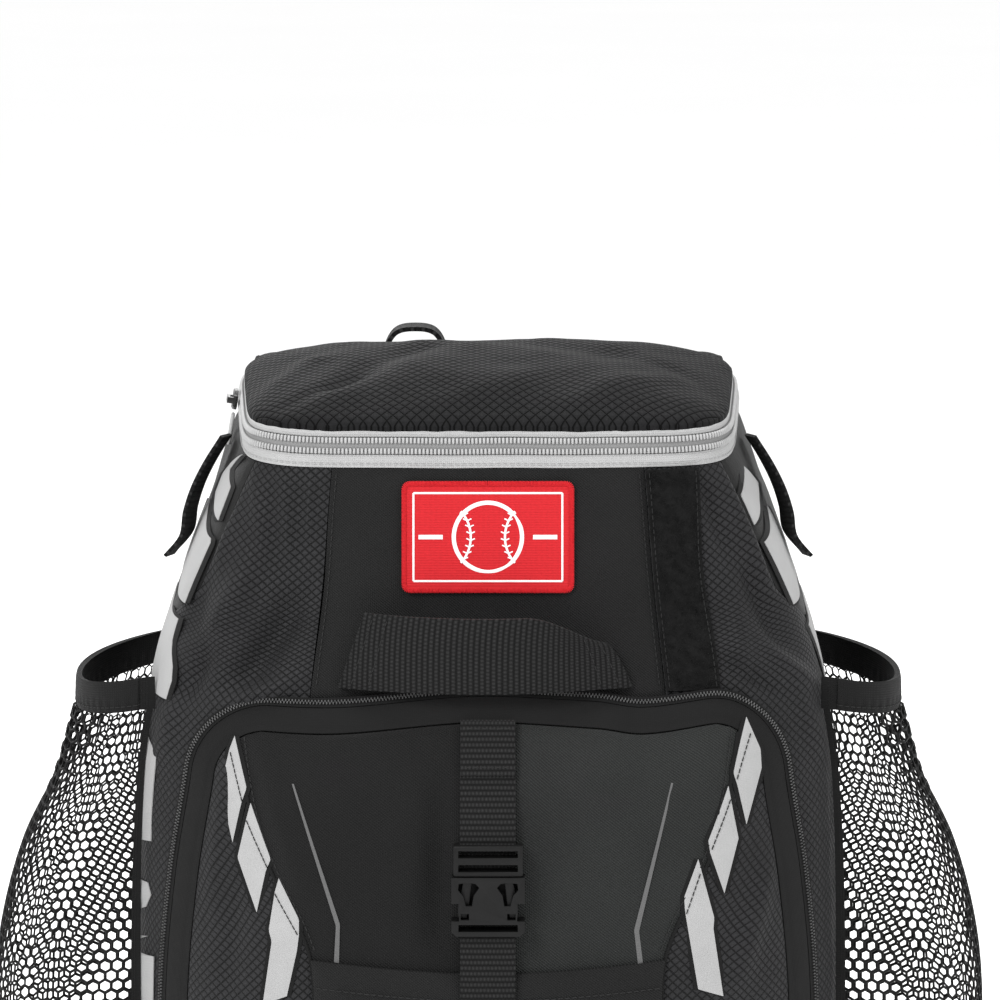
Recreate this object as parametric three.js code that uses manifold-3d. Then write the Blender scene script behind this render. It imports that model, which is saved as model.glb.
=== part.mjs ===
// Baseball bat backpack: a body of sewn cloth panels with a zipped lid, a bulging front pocket with a
// buckled flap, a net bat pocket on each side and two padded shoulder straps.
// Millimetres. +Z is up, -Y is the front, and the origin is the middle of the flat base.
import * as THREE from "three";
import { mergeVertices } from "three/addons/utils/BufferGeometryUtils.js";
import Module from "manifold-3d";

const wasm = await Module();
wasm.setup();

// Body
const BODY_WIDTH = 330; // side wall to side wall where the bag is widest
const FRONT_REACH = 106; // middle plane to the front wall
const BACK_REACH = 96; // middle plane to the back wall
const RIM_HEIGHT = 435; // floor to the lid zipper's lower edge at the front
const RIM_RISE = 12; // how much higher that edge lies at the back
const PLAN_POWER = 4; // squareness of the body's plan: 2 is an ellipse
const RIM_POWER = 6; // the same at the zipper
const RIM_TAPER = 0.055; // how much wider the back of the rim is than its middle
const BAND_LEAN = 0.16; // how far the zipper leans in for each mm of its height
const LID_CROWN = 17; // bulge of the lid over its zipper
const CROWN_POWER = 2.6; // how flat that bulge is on top

// Cloth
const CLOTH = 2.2; // lined shell cloth
const BACK_PAD = 8; // padded back wall
const BASE_CLOTH = 3; // stiffened base
const BASE_ROOM = 1.1; // extra clearance between the base and the walls round it
const SEAM_GAP = 0.3; // clearance between neighbouring pieces
const FACET_ROOM = 0.55; // extra clearance under a piece that lies on curved cloth
const YOKE_SEAM_TOP = 71; // middle of the front to the seam beside the yoke, at the zipper
const YOKE_SEAM_LOW = 81; // the same at the pocket's top
const BACK_SEAM = 100; // middle of the back to its side seams

// Lid zipper
const LID_TAPE_UPPER = 4.4; // width of the visible tape above the coil
const LID_TAPE_LOWER = 6.2;
const LID_COIL = 7.6; // width of the closed coil
const LID_COIL_PROUD = 1.4; // how far the coil stands off the tapes
const LID_SLIDER = { long: 13, wide: 9, deep: 5 };
const LID_SLIDER_BACK = 20; // slider behind the middle plane
const PULL_TAB = { long: 16, wide: 5.5, deep: 1.8 };

// Front pocket
const POCKET_TOP = 332; // floor to the pocket zipper's top run
const POCKET_BOTTOM = 30;
const POCKET_WIDTH = 300;
const POCKET_CORNER = 34; // radius of the zipper's top corners
const POCKET_DEPTH = 20; // bulge over the body
const POCKET_ROUND = 62; // width of the slope round the bulge
const POCKET_TAPE = 10;
const POCKET_COIL = 4;
const POCKET_COIL_PROUD = 1;
const POCKET_SLIDER_HEIGHT = 70;
const POCKET_SLIDER = { long: 11, wide: 8, deep: 4.5 };
const HEM_HEIGHT = 217; // floor to the ends of the lower pocket's hem
const HEM_SAG = 6;
const HEM_TUCK = 10; // how far the flap reaches behind the hem

// Webbing and buckle
const WEBBING_WIDTH = 25;
const WEBBING = 1.6;
const STRAP_TOP = 320; // floor to the sewn end of the flap strap
const STRAP_BOTTOM = 44;
const BUCKLE_HEIGHT = 244; // floor to the socket's middle
const BUCKLE = { wide: 33, body: 27, ladder: 14, deep: 9, wall: 1.7, bar: 2.2, slot: 3.2, guide: 6 };

// Carry handle on the yoke
const HANDLE_LENGTH = 134; // along its sewn lower edge
const HANDLE_UPPER_LENGTH = 110; // along its upper edge
const HANDLE_OFFSET = -1; // its middle, left of the bag's middle
const HANDLE_WIDTH = 34;
const HANDLE_BOTTOM = 337;
const HANDLE_ARCH = 16;
const HANDLE_WEBBING = 2.2;

// Badge and loop-tape strip
const BADGE = { wide: 76, high: 48, thick: 1.4, middle: 404 };
const STRIP_WIDTH = 24;
const STRIP_THICK = 1.2;

// Net bat pockets
const NET_BOTTOM = 14;
const NET_TOP = 319;
const NET_DROOP = 8; // how much lower the rim hangs at its outermost point
const NET_FRONT = 60; // middle plane to the front seam
const NET_BACK = 60; // middle plane to the back seam
const NET_REACH = 69; // bulge over the side wall
const NET_THICK = 1.6;
const NET_COLUMNS = 6;
const NET_ROWS = 9;
const NET_HOLE = 0.7; // share of a cell that is open
const BINDING_HEIGHT = 15;
const BINDING_THICK = 2.6;

// Bat straps, one on each side wall
const BAT_STRAP_WIDTH = 22;
const BAT_STRAP_LENGTH = 44;
const BAT_STRAP_TAB = 14;
const BAT_STRAP_DROP = 4; // rim to the strap's sewn end

// Shoulder straps
const PAD_WIDTH = 60;
const PAD_THICK = 11;
const PAD_TOP = 460; // floor to the top of the pads' arch
const PAD_SPREAD = 84; // middle plane to a pad's sewn end
const PAD_STAND = 44; // how far the pads stand off the back wall
const PAD_END = 168; // floor to a pad's lower end
const LADDER = { wide: 34, long: 22, deep: 4, bar: 4 };
const ANCHOR_HEIGHT = 44; // floor to the webbing's sewn lower end

// Haul loop on the back's top edge, left of the middle
const HAUL = { middle: -36, half: 16, low: 446, top: 478, wide: 18, thick: 2.2 };

// The body's plan from base to zipper: at is a share of RIM_HEIGHT, half of half the width,
// front and back of the reaches.
const SECTIONS = [
  { at: 0, half: 0.915, front: 0.88, back: 0.93 },
  { at: 0.03, half: 0.965, front: 0.945, back: 0.975 },
  { at: 0.09, half: 0.99, front: 0.985, back: 0.99 },
  { at: 0.28, half: 1, front: 1, back: 1 },
  { at: 0.5, half: 1, front: 1, back: 1 },
  { at: 0.66, half: 0.988, front: 0.99, back: 0.995 },
  { at: 0.735, half: 0.964, front: 0.968, back: 0.992 },
  { at: 0.79, half: 0.932, front: 0.92, back: 0.988 },
  { at: 0.84, half: 0.884, front: 0.862, back: 0.983 },
  { at: 0.89, half: 0.836, front: 0.835, back: 0.978 },
  { at: 0.94, half: 0.777, front: 0.808, back: 0.97 },
  { at: 1, half: 0.71, front: 0.775, back: 0.955 },
];

// Dents and swells of the front: x is a share of half the width, z of RIM_HEIGHT, wide of half the
// width, and out of FRONT_REACH.
const DENTS = [
  { x: -0.62, z: 0.875, wide: 0.18, out: -0.05 },
  { x: 0.62, z: 0.885, wide: 0.18, out: -0.03 },
  { x: -0.8, z: 0.8, wide: 0.17, out: 0.02 },
  { x: 0.78, z: 0.8, wide: 0.17, out: 0.03 },
  { x: 0.3, z: 0.8, wide: 0.12, out: -0.025 },
];

// The pocket's side edges: at is a share of POCKET_TOP, half of half the width.
const POCKET_EDGES = [
  { at: 0, half: 0.955 },
  { at: 0.2, half: 0.995 },
  { at: 0.4, half: 1 },
  { at: 0.6, half: 0.99 },
  { at: 0.76, half: 0.955 },
  { at: 0.9, half: 0.905 },
  { at: 1, half: 0.885 },
];

// The flap's waisted edges, in the same shares.
const FLAP_EDGES = [
  { at: 0, half: 0.545 },
  { at: 0.3, half: 0.53 },
  { at: 0.55, half: 0.524 },
  { at: 0.645, half: 0.53 },
  { at: 0.7, half: 0.568 },
  { at: 0.777, half: 0.652 },
  { at: 0.855, half: 0.713 },
  { at: 1, half: 0.765 },
];

// The net's bulge: at is a share of its height and out of NET_REACH.
const NET_BULGE = [
  { at: 0, out: 0 },
  { at: 0.04, out: 0.42 },
  { at: 0.11, out: 0.8 },
  { at: 0.25, out: 0.98 },
  { at: 0.45, out: 1 },
  { at: 0.62, out: 0.95 },
  { at: 0.78, out: 0.78 },
  { at: 0.9, out: 0.57 },
  { at: 1, out: 0.48 },
];

// A pad's centreline: at is a share of the way down from its top to its end, x of its way outward,
// and out of PAD_STAND beyond where it lies on the wall.
const PAD_LINE = [
  { at: 0.12, x: 0, out: 0 },
  { at: 0.06, x: 0, out: 0.04 },
  { at: 0.015, x: 0, out: 0.24 },
  { at: 0, x: 0.01, out: 0.52 },
  { at: 0.035, x: 0.04, out: 0.82 },
  { at: 0.2, x: 0.24, out: 1 },
  { at: 0.45, x: 0.6, out: 0.96 },
  { at: 0.7, x: 0.88, out: 0.72 },
  { at: 0.88, x: 0.98, out: 0.44 },
  { at: 1, x: 1, out: 0.24 },
];

// Height samples of the body's walls, as shares of RIM_HEIGHT, and of the pocket, of POCKET_TOP
const LEVELS = [0, 0.03, 0.09, 0.28, 0.5, 0.66, 0.735, 0.763, 0.79, 0.84, 0.89, 0.94, 1];
const POCKET_LEVELS = [0.14, 0.2, 0.29, 0.4, 0.52, 0.645, 0.7, 0.777, 0.855, 0.92];
const PLAN_STEP = 10; // degrees between the samples round the body
const SMALL = 1e-3;

const ZIP_BAND = LID_TAPE_LOWER + LID_COIL + LID_TAPE_UPPER;
const HALF_WIDTH = BODY_WIDTH / 2;
const SEAT = SEAM_GAP + FACET_ROOM;
const POCKET_LIFT = CLOTH + SEAT;

const lerp = THREE.MathUtils.lerp;
const clamp = THREE.MathUtils.clamp;
const degrees = THREE.MathUtils.radToDeg;
const radians = THREE.MathUtils.degToRad;

// A column of a table at t, on a smooth curve through its rows.
function tableAt(rows, column, t) {
  const last = rows.length - 1;
  const found = rows.findIndex((row, k) => k < last && t <= rows[k + 1].at);
  const i = found < 0 ? last - 1 : found;
  const slope = (k) => {
    const low = rows[Math.max(k - 1, 0)];
    const high = rows[Math.min(k + 1, last)];
    return (high[column] - low[column]) / (high.at - low.at);
  };
  const step = rows[i + 1].at - rows[i].at;
  const s = clamp((t - rows[i].at) / step, 0, 1);
  const start = rows[i][column];
  const end = rows[i + 1][column];
  const bend = s * (1 - s) * step;
  const ease = s * s * (3 - 2 * s);
  return lerp(start, end, ease) + bend * (slope(i) * (1 - s) - slope(i + 1) * s);
}

function sectionAt(level) {
  return {
    half: HALF_WIDTH * tableAt(SECTIONS, "half", level),
    front: FRONT_REACH * tableAt(SECTIONS, "front", level),
    back: BACK_REACH * tableAt(SECTIONS, "back", level),
  };
}

function planPower(level) {
  return lerp(PLAN_POWER, RIM_POWER, THREE.MathUtils.smoothstep(level, 0.76, 1));
}

// The plan is wider behind its middle than before it, towards the rim.
const taperAt = (level, y) => 1 + (RIM_TAPER * level ** 6 * y) / BACK_REACH;

// Swell of the front at a point, positive outward.
function swellAt(x, z) {
  return DENTS.reduce((sum, dent) => {
    const across = x / HALF_WIDTH - dent.x;
    const up = ((z / RIM_HEIGHT - dent.z) * RIM_HEIGHT) / HALF_WIDTH;
    const far = (across * across + up * up) / (dent.wide * dent.wide);
    return sum + FRONT_REACH * dent.out * Math.exp(-far);
  }, 0);
}

// A point of the body's outer surface. Angle 0 is the right side (+X), -90 the front.
function bodySurface(angle, level) {
  const { half, front, back } = sectionAt(level);
  const c = Math.cos(radians(angle));
  const s = Math.sin(radians(angle));
  const power = planPower(level);
  const reach = (Math.abs(c) ** power + Math.abs(s) ** power) ** (1 / power);
  const y = ((s < 0 ? front : back) * s) / reach;
  const x = (half * taperAt(level, y) * c) / reach;
  const rise = (RIM_RISE * level ** 6 * (y + front)) / (front + back);
  const z = RIM_HEIGHT * level + rise;
  const swell = swellAt(x, RIM_HEIGHT * level) * clamp(-s / reach, 0, 1);
  return new THREE.Vector3(x + (swell * c) / reach, y + (swell * s) / reach, z);
}

// The angle at which the body's plan reaches x on the front or the back.
function angleAtX(x, level, side) {
  const { half, front, back } = sectionAt(level);
  const power = planPower(level);
  const wide = half * taperAt(level, side < 0 ? -front : back);
  const share = clamp(Math.abs(x) / wide, SMALL, 1);
  const slope = (1 / share ** power - 1) ** (1 / power);
  return degrees(Math.atan2(side * slope, Math.sign(x || 1)));
}

// The angle at which the right side's plan reaches y.
function angleAtY(y, level) {
  const { front, back } = sectionAt(level);
  const share = clamp(Math.abs(y) / (y < 0 ? front : back), SMALL, 1 - SMALL);
  const power = planPower(level);
  const slope = (1 / share ** power - 1) ** (1 / power);
  return degrees(Math.atan2(Math.sign(y || 1), slope));
}

// The zipper band above the rim, where h is the height over its lower edge.
function bandSurface(angle, h) {
  const rim = bodySurface(angle, 1);
  const inward = 1 - (BAND_LEAN * h) / sectionAt(1).half;
  return new THREE.Vector3(rim.x * inward, rim.y * inward, rim.z + h);
}

// The front of the body at x, for a height that is not on the tilted rim.
function frontSurface(x, z) {
  const level = z / RIM_HEIGHT;
  return bodySurface(angleAtX(Math.abs(x) < SMALL ? SMALL : x, level, -1), level);
}

// A surface's point moved out by a distance along its normal.
function offsetPoint(surface, u, v, out, du = SMALL * 10, dv = SMALL) {
  const along = surface(u + du, v).sub(surface(u - du, v));
  const up = surface(u, v + dv).sub(surface(u, v - dv));
  return surface(u, v).addScaledVector(along.cross(up).normalize(), out);
}

const onBody = (angle, level, out) => offsetPoint(bodySurface, angle, level, out);
const onBand = (angle, h, out) => offsetPoint(bandSurface, angle, h, out);
const onFront = (x, z, out) => offsetPoint(frontSurface, x, z, out);

// Half the width of the pocket's outline at a height, drawn in by inset.
function outlineHalf(z, inset) {
  const top = POCKET_TOP - inset;
  const radius = POCKET_CORNER - inset;
  const side = (POCKET_WIDTH / 2) * tableAt(POCKET_EDGES, "half", z / POCKET_TOP) - inset;
  const lift = clamp(1 - (top - z) / radius, 0, 1);
  return side - radius * (1 - Math.sqrt(1 - lift * lift));
}

const parabola = (t) => 1 - (1 - clamp(t, 0, 1)) ** 2;

// The pocket's outer surface, which leaves the body inside its outline.
function pocketSurface(x, z) {
  const side = parabola((outlineHalf(z, 0) - Math.abs(x)) / POCKET_ROUND);
  const top = parabola((POCKET_TOP - z) / POCKET_ROUND);
  const bottom = parabola((z - POCKET_BOTTOM) / POCKET_ROUND);
  const base = onFront(x, z, POCKET_LIFT);
  base.y -= POCKET_DEPTH * side * top * bottom;
  return base;
}

const onPocket = (x, z, out) => offsetPoint(pocketSurface, x, z, out, 0.5, 0.5);

// Heights from low to high that every piece of the pocket has in common.
function heightsBetween(low, high) {
  const room = 4;
  const inside = POCKET_LEVELS.map((level) => POCKET_TOP * level);
  return [low, ...inside.filter((z) => z > low + room && z < high - room), high];
}

// The pocket's outline from its lower left end over the top to its lower right end.
function outlinePath(inset) {
  const top = POCKET_TOP - inset;
  const radius = POCKET_CORNER - inset;
  const cornerSteps = 5;
  const topSteps = 10;
  const straight = heightsBetween(POCKET_BOTTOM, POCKET_TOP - POCKET_CORNER).slice(0, -1);
  const points = straight.map((z) => ({ x: outlineHalf(z, inset), z }));
  for (let k = 0; k <= cornerSteps; k++) {
    const z = top - radius + radius * Math.sin(((Math.PI / 2) * k) / cornerSteps);
    points.push({ x: outlineHalf(z, inset), z });
  }
  const flatHalf = points[points.length - 1].x;
  const right = [...points];
  const flat = [];
  for (let k = 1; k < topSteps; k++) flat.push({ x: lerp(-flatHalf, flatHalf, k / topSteps), z: top });
  const left = right.map(({ x, z }) => ({ x: -x, z }));
  return [...left, ...flat, ...right.reverse()];
}

function geometryOf(points, triangles) {
  const geometry = new THREE.BufferGeometry();
  const flat = points.flatMap((p) => [p.x, p.y, p.z]);
  geometry.setAttribute("position", new THREE.Float32BufferAttribute(flat, 3));
  geometry.setIndex(triangles.flat());
  return facingOut(geometry);
}

// Turns the faces round if the signed volume is negative.
function facingOut(geometry) {
  const p = geometry.getAttribute("position");
  const index = geometry.getIndex().array;
  const corner = (k) => new THREE.Vector3().fromBufferAttribute(p, index[k]);
  let volume = 0;
  for (let k = 0; k < index.length; k += 3) volume += corner(k).cross(corner(k + 1)).dot(corner(k + 2));
  if (volume < 0) {
    for (let k = 0; k < index.length; k += 3) [index[k], index[k + 1]] = [index[k + 1], index[k]];
  }
  geometry.computeVertexNormals();
  return geometry;
}

const quad = (a, b, c, d) => [
  [a, b, c],
  [a, c, d],
];

// A wall: place(i, j, out) gives its points for i to columns and j to rows, at two distances out.
function wall(place, columns, rows, outer, inner) {
  const points = [];
  const id = (side, i, j) => (side * (rows + 1) + j) * (columns + 1) + i;
  for (const out of [outer, inner]) {
    for (let j = 0; j <= rows; j++) {
      for (let i = 0; i <= columns; i++) points.push(place(i, j, out));
    }
  }
  const triangles = [];
  for (let j = 0; j < rows; j++) {
    for (let i = 0; i < columns; i++) {
      triangles.push(...quad(id(0, i, j), id(0, i + 1, j), id(0, i + 1, j + 1), id(0, i, j + 1)));
      triangles.push(...quad(id(1, i, j), id(1, i, j + 1), id(1, i + 1, j + 1), id(1, i + 1, j)));
    }
  }
  for (let i = 0; i < columns; i++) {
    triangles.push(...quad(id(0, i, 0), id(1, i, 0), id(1, i + 1, 0), id(0, i + 1, 0)));
    triangles.push(...quad(id(0, i, rows), id(0, i + 1, rows), id(1, i + 1, rows), id(1, i, rows)));
  }
  for (let j = 0; j < rows; j++) {
    triangles.push(...quad(id(0, 0, j), id(0, 0, j + 1), id(1, 0, j + 1), id(1, 0, j)));
    triangles.push(
      ...quad(id(0, columns, j), id(1, columns, j), id(1, columns, j + 1), id(0, columns, j + 1)),
    );
  }
  return geometryOf(points, triangles);
}

// A body panel between two angles, each a function of the level, over a range of levels.
function bodyPanel(startAngle, endAngle, lowLevel, highLevel, columns, thickness) {
  const inside = LEVELS.filter((level) => level > lowLevel + SMALL && level < highLevel - SMALL);
  const levels = [lowLevel, ...inside, highLevel];
  const place = (i, j, out) => {
    const level = levels[j];
    return onBody(lerp(startAngle(level), endAngle(level), i / columns), level, out);
  };
  return wall(place, columns, levels.length - 1, 0, -thickness);
}

// A solid swept along stations: each has a centre, a width vector and a thickness vector.
function sweep(stations, section) {
  const points = stations.flatMap(({ centre, wide, thick }) =>
    section.map(([w, t]) => centre.clone().addScaledVector(wide, w).addScaledVector(thick, t)),
  );
  const n = section.length;
  const triangles = [];
  for (let k = 0; k + 1 < stations.length; k++) {
    for (let i = 0; i < n; i++) {
      const next = (i + 1) % n;
      triangles.push(...quad(k * n + i, k * n + next, (k + 1) * n + next, (k + 1) * n + i));
    }
  }
  const end = (stations.length - 1) * n;
  for (let i = 1; i + 1 < n; i++) {
    triangles.push([0, i + 1, i]);
    triangles.push([end, end + i, end + i + 1]);
  }
  return geometryOf(points, triangles);
}

// Stations along a smooth line, with the width kept near a given direction.
function stationsAlong(line, count, wideOf, thick, across) {
  const curve = new THREE.CatmullRomCurve3(line, false, "centripetal");
  return Array.from({ length: count + 1 }, (_, k) => {
    const t = k / count;
    const tangent = curve.getTangentAt(t);
    const wide = across.clone().addScaledVector(tangent, -across.dot(tangent)).normalize();
    const normal = tangent.clone().cross(wide).normalize();
    return {
      centre: curve.getPointAt(t),
      wide: wide.multiplyScalar(wideOf(t)),
      thick: normal.multiplyScalar(thick),
    };
  });
}

const FLAT_SHARES = [
  [-0.5, -0.5],
  [0.5, -0.5],
  [0.5, 0.5],
  [-0.5, 0.5],
];
const PAD_SHARES = [
  [-0.5, -0.2],
  [-0.38, -0.5],
  [0.38, -0.5],
  [0.5, -0.2],
  [0.5, 0.2],
  [0.38, 0.5],
  [-0.38, 0.5],
  [-0.5, 0.2],
];

function mirrored(geometry) {
  const copy = geometry.clone();
  copy.scale(-1, 1, 1);
  return facingOut(copy);
}

function toManifold(geometry) {
  const bare = geometry.clone();
  bare.deleteAttribute("normal");
  bare.deleteAttribute("uv");
  const merged = mergeVertices(bare);
  const vertProperties = new Float32Array(merged.getAttribute("position").array);
  const triVerts = new Uint32Array(merged.getIndex().array);
  return new wasm.Manifold(new wasm.Mesh({ numProp: 3, vertProperties, triVerts }));
}

function fromManifold(solid) {
  const mesh = solid.getMesh();
  const geometry = new THREE.BufferGeometry();
  geometry.setAttribute("position", new THREE.BufferAttribute(mesh.vertProperties, 3));
  geometry.setIndex(new THREE.BufferAttribute(mesh.triVerts, 1));
  geometry.computeVertexNormals();
  return geometry;
}

// A flat outline in x and z, as a plate from one y to another.
function plate(outline, nearY, farY) {
  const shape = new THREE.Shape(outline.map(([x, z]) => new THREE.Vector2(x, z)));
  const geometry = new THREE.ExtrudeGeometry(shape, { depth: farY - nearY, bevelEnabled: false });
  geometry.rotateX(Math.PI / 2);
  geometry.translate(0, farY, 0);
  return toManifold(geometry);
}

const rectangle = (x0, z0, x1, z1) => [
  [x0, z0],
  [x1, z0],
  [x1, z1],
  [x0, z1],
];
const mirrorOutline = (outline) => outline.map(([x, z]) => [-x, z]).reverse();

const root = new THREE.Group();
const MATERIALS = {
  ripstop: { color: 0x3a3a3e, roughness: 0.62 },
  twill: { color: 0x222224, roughness: 0.85 },
  gusset: { color: 0x17181a, roughness: 0.5 },
  back_mesh: { color: 0x1b1b1d, roughness: 0.95 },
  grey_tape: { color: 0xc4c4c2, roughness: 0.7 },
  grey_coil: { color: 0xb9b9b8, roughness: 0.45 },
  black_tape: { color: 0x161617, roughness: 0.85 },
  black_coil: { color: 0x3c3c3c, roughness: 0.4 },
  webbing: { color: 0x1c1c1d, roughness: 0.8 },
  loop_tape: { color: 0x0f0f10, roughness: 1 },
  badge: { color: 0xd8232f, roughness: 0.75 },
  net: { color: 0x121213, roughness: 0.8 },
  buckle: { color: 0x2c2d2e, roughness: 0.42 },
  slider: { color: 0x0e0e0f, roughness: 0.3 },
  pull: { color: 0x9c9d9d, roughness: 0.8 },
};

function add(name, geometry, material, group = root) {
  const mesh = new THREE.Mesh(geometry, new THREE.MeshStandardMaterial({ ...MATERIALS[material], metalness: 0 }));
  mesh.name = name;
  group.add(mesh);
  return mesh;
}

// Adds the right-hand piece and its mirror image.
function addPair(name, geometry, material) {
  add(name + "_right", geometry, material);
  add(name + "_left", mirrored(geometry), material);
}

// Body panels
const halfGap = SEAM_GAP / 2;
const yokeLevel = POCKET_TOP / RIM_HEIGHT;
const rimLevel = 1 - halfGap / RIM_HEIGHT;
const yokeSeam = (level) => {
  const up = clamp((level - yokeLevel) / (1 - yokeLevel), 0, 1);
  return lerp(YOKE_SEAM_LOW, YOKE_SEAM_TOP, up);
};
const yokeAngle = (sign, shift) => (level) => angleAtX(sign * (yokeSeam(level) + shift), level, -1);
const backAngle = (sign, shift) => (level) => angleAtX(sign * (BACK_SEAM + shift), level, 1);

// The seam between side panel and gusset swings forward under the lid, where it shows.
const gussetSeam = (level) => -0.62 * FRONT_REACH * THREE.MathUtils.smoothstep(level, 0.77, 0.87);
const gussetAngle = (shift) => (level) => angleAtY(gussetSeam(level) + shift, level);

function addBodyPanels() {
  const yokeColumns = 6;
  const sideColumns = 10;
  const gussetColumns = 6;
  const backColumns = 6;
  const front = [yokeAngle(-1, -halfGap), yokeAngle(1, -halfGap)];
  add("yoke_panel", bodyPanel(...front, yokeLevel + halfGap / RIM_HEIGHT, rimLevel, yokeColumns, CLOTH), "twill");
  add("front_wall", bodyPanel(...front, 0, yokeLevel - halfGap / RIM_HEIGHT, yokeColumns, CLOTH), "twill");
  const side = [yokeAngle(1, halfGap), gussetAngle(-halfGap)];
  addPair("side_panel", bodyPanel(...side, 0, rimLevel, sideColumns, CLOTH), "ripstop");
  const gusset = [gussetAngle(halfGap), backAngle(1, halfGap)];
  addPair("gusset", bodyPanel(...gusset, 0, rimLevel, gussetColumns, CLOTH), "gusset");
  const back = [backAngle(1, -halfGap), backAngle(-1, -halfGap)];
  const backLevels = [...LEVELS];
  const place = (i, j, out) => {
    if (j === backLevels.length) {
      return onBand(lerp(back[0](1), back[1](1), i / backColumns), ZIP_BAND - halfGap, out);
    }
    const level = backLevels[j];
    return onBody(lerp(back[0](level), back[1](level), i / backColumns), level, out);
  };
  add("back_panel", wall(place, backColumns, backLevels.length, 0, -BACK_PAD), "back_mesh");
}

// The flat base lies inside the walls' lower edges.
function addBase() {
  const points = [];
  for (let angle = 0; angle < 360; angle += PLAN_STEP) {
    const onBack = angle > 40 && angle < 140;
    const inside = onBody(angle, 0.001, -((onBack ? BACK_PAD : CLOTH) + SEAT + BASE_ROOM));
    points.push([inside.x, inside.y]);
  }
  const shape = new THREE.Shape(points.map(([x, y]) => new THREE.Vector2(x, y)));
  const geometry = new THREE.ExtrudeGeometry(shape, { depth: BASE_CLOTH, bevelEnabled: false });
  add("base_panel", fromManifold(toManifold(geometry)), "twill");
}

// The lid zipper runs from one back seam round the sides and front to the other.
const bandEnd = () => backAngle(1, halfGap)(1);

function bandStrip(low, high, outer, inner) {
  const start = -180 - bandEnd();
  const end = bandEnd();
  const columns = Math.round((end - start) / PLAN_STEP);
  const heights = [low, high];
  const place = (i, j, out) => onBand(lerp(start, end, i / columns), heights[j], out);
  return wall(place, columns, 1, outer, inner);
}

function addLidZipper() {
  const coilStart = LID_TAPE_LOWER;
  const coilEnd = LID_TAPE_LOWER + LID_COIL;
  add("lid_tape_lower", bandStrip(halfGap, coilStart - halfGap, 0, -CLOTH), "grey_tape");
  add("lid_coil", bandStrip(coilStart + halfGap, coilEnd - halfGap, LID_COIL_PROUD, -CLOTH), "grey_coil");
  add("lid_tape_upper", bandStrip(coilEnd + halfGap, ZIP_BAND - halfGap, 0, -CLOTH), "grey_tape");
}

// The lid's outer surface: share 1 is its edge and 0 its middle.
function lidPoint(angle, share, drop) {
  const edge = bandSurface(angle, ZIP_BAND + halfGap);
  const { front, back } = sectionAt(1);
  const y = edge.y * share;
  const plane = RIM_HEIGHT + ZIP_BAND + halfGap + (RIM_RISE * (y + front)) / (front + back);
  const crown = LID_CROWN * (1 - share ** CROWN_POWER);
  return new THREE.Vector3(edge.x * share, y, plane + CLOTH + crown - drop);
}

function addLid() {
  const shares = [1, 0.94, 0.82, 0.6, 0.3];
  const count = 360 / PLAN_STEP;
  const points = [];
  for (const drop of [0, CLOTH]) {
    for (const share of shares) {
      for (let k = 0; k < count; k++) points.push(lidPoint(k * PLAN_STEP, share, drop));
    }
    points.push(lidPoint(0, 0, drop));
  }
  const layer = shares.length * count + 1;
  const id = (side, ring, k) => side * layer + ring * count + (k % count);
  const triangles = [];
  for (let k = 0; k < count; k++) {
    for (let ring = 0; ring + 1 < shares.length; ring++) {
      triangles.push(
        ...quad(id(0, ring, k), id(0, ring, k + 1), id(0, ring + 1, k + 1), id(0, ring + 1, k)),
        ...quad(id(1, ring, k), id(1, ring + 1, k), id(1, ring + 1, k + 1), id(1, ring, k + 1)),
      );
    }
    const inner = shares.length - 1;
    triangles.push([id(0, inner, k), id(0, inner, k + 1), layer - 1]);
    triangles.push([id(1, inner, k + 1), id(1, inner, k), 2 * layer - 1]);
    triangles.push(...quad(id(0, 0, k), id(1, 0, k), id(1, 0, k + 1), id(0, 0, k + 1)));
  }
  add("lid", geometryOf(points, triangles), "ripstop");
}

// A zipper slider: a wedge-nosed body with a bridge for its puller, lying in x and z.
function sliderSolid({ long, wide, deep }) {
  const nose = [
    [-wide / 2, -long / 2],
    [wide / 2, -long / 2],
    [wide / 2, long * 0.15],
    [wide * 0.28, long / 2],
    [-wide * 0.28, long / 2],
    [-wide / 2, long * 0.15],
  ];
  const bridgeHalf = wide * 0.16;
  const bridge = plate(rectangle(-bridgeHalf, -long * 0.42, bridgeHalf, long * 0.4), -deep, -deep * 0.4);
  const eye = plate(rectangle(-wide, -long * 0.22, wide, long * 0.22), -deep * 0.72, -deep * 0.42);
  return plate(nose, -deep * 0.45, 0).add(bridge).subtract(eye);
}

// A group at a seat, with its local -Y turned outward and its local Z along a direction.
function groupOn(seat, outward, along) {
  const group = new THREE.Group();
  const y = outward.clone().normalize().negate();
  const x = y.clone().cross(along).normalize();
  const z = x.clone().cross(y);
  group.quaternion.setFromRotationMatrix(new THREE.Matrix4().makeBasis(x, y, z));
  group.position.copy(seat);
  root.add(group);
  return group;
}

const leftOf = (point) => new THREE.Vector3(-point.x, point.y, point.z);

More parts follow.
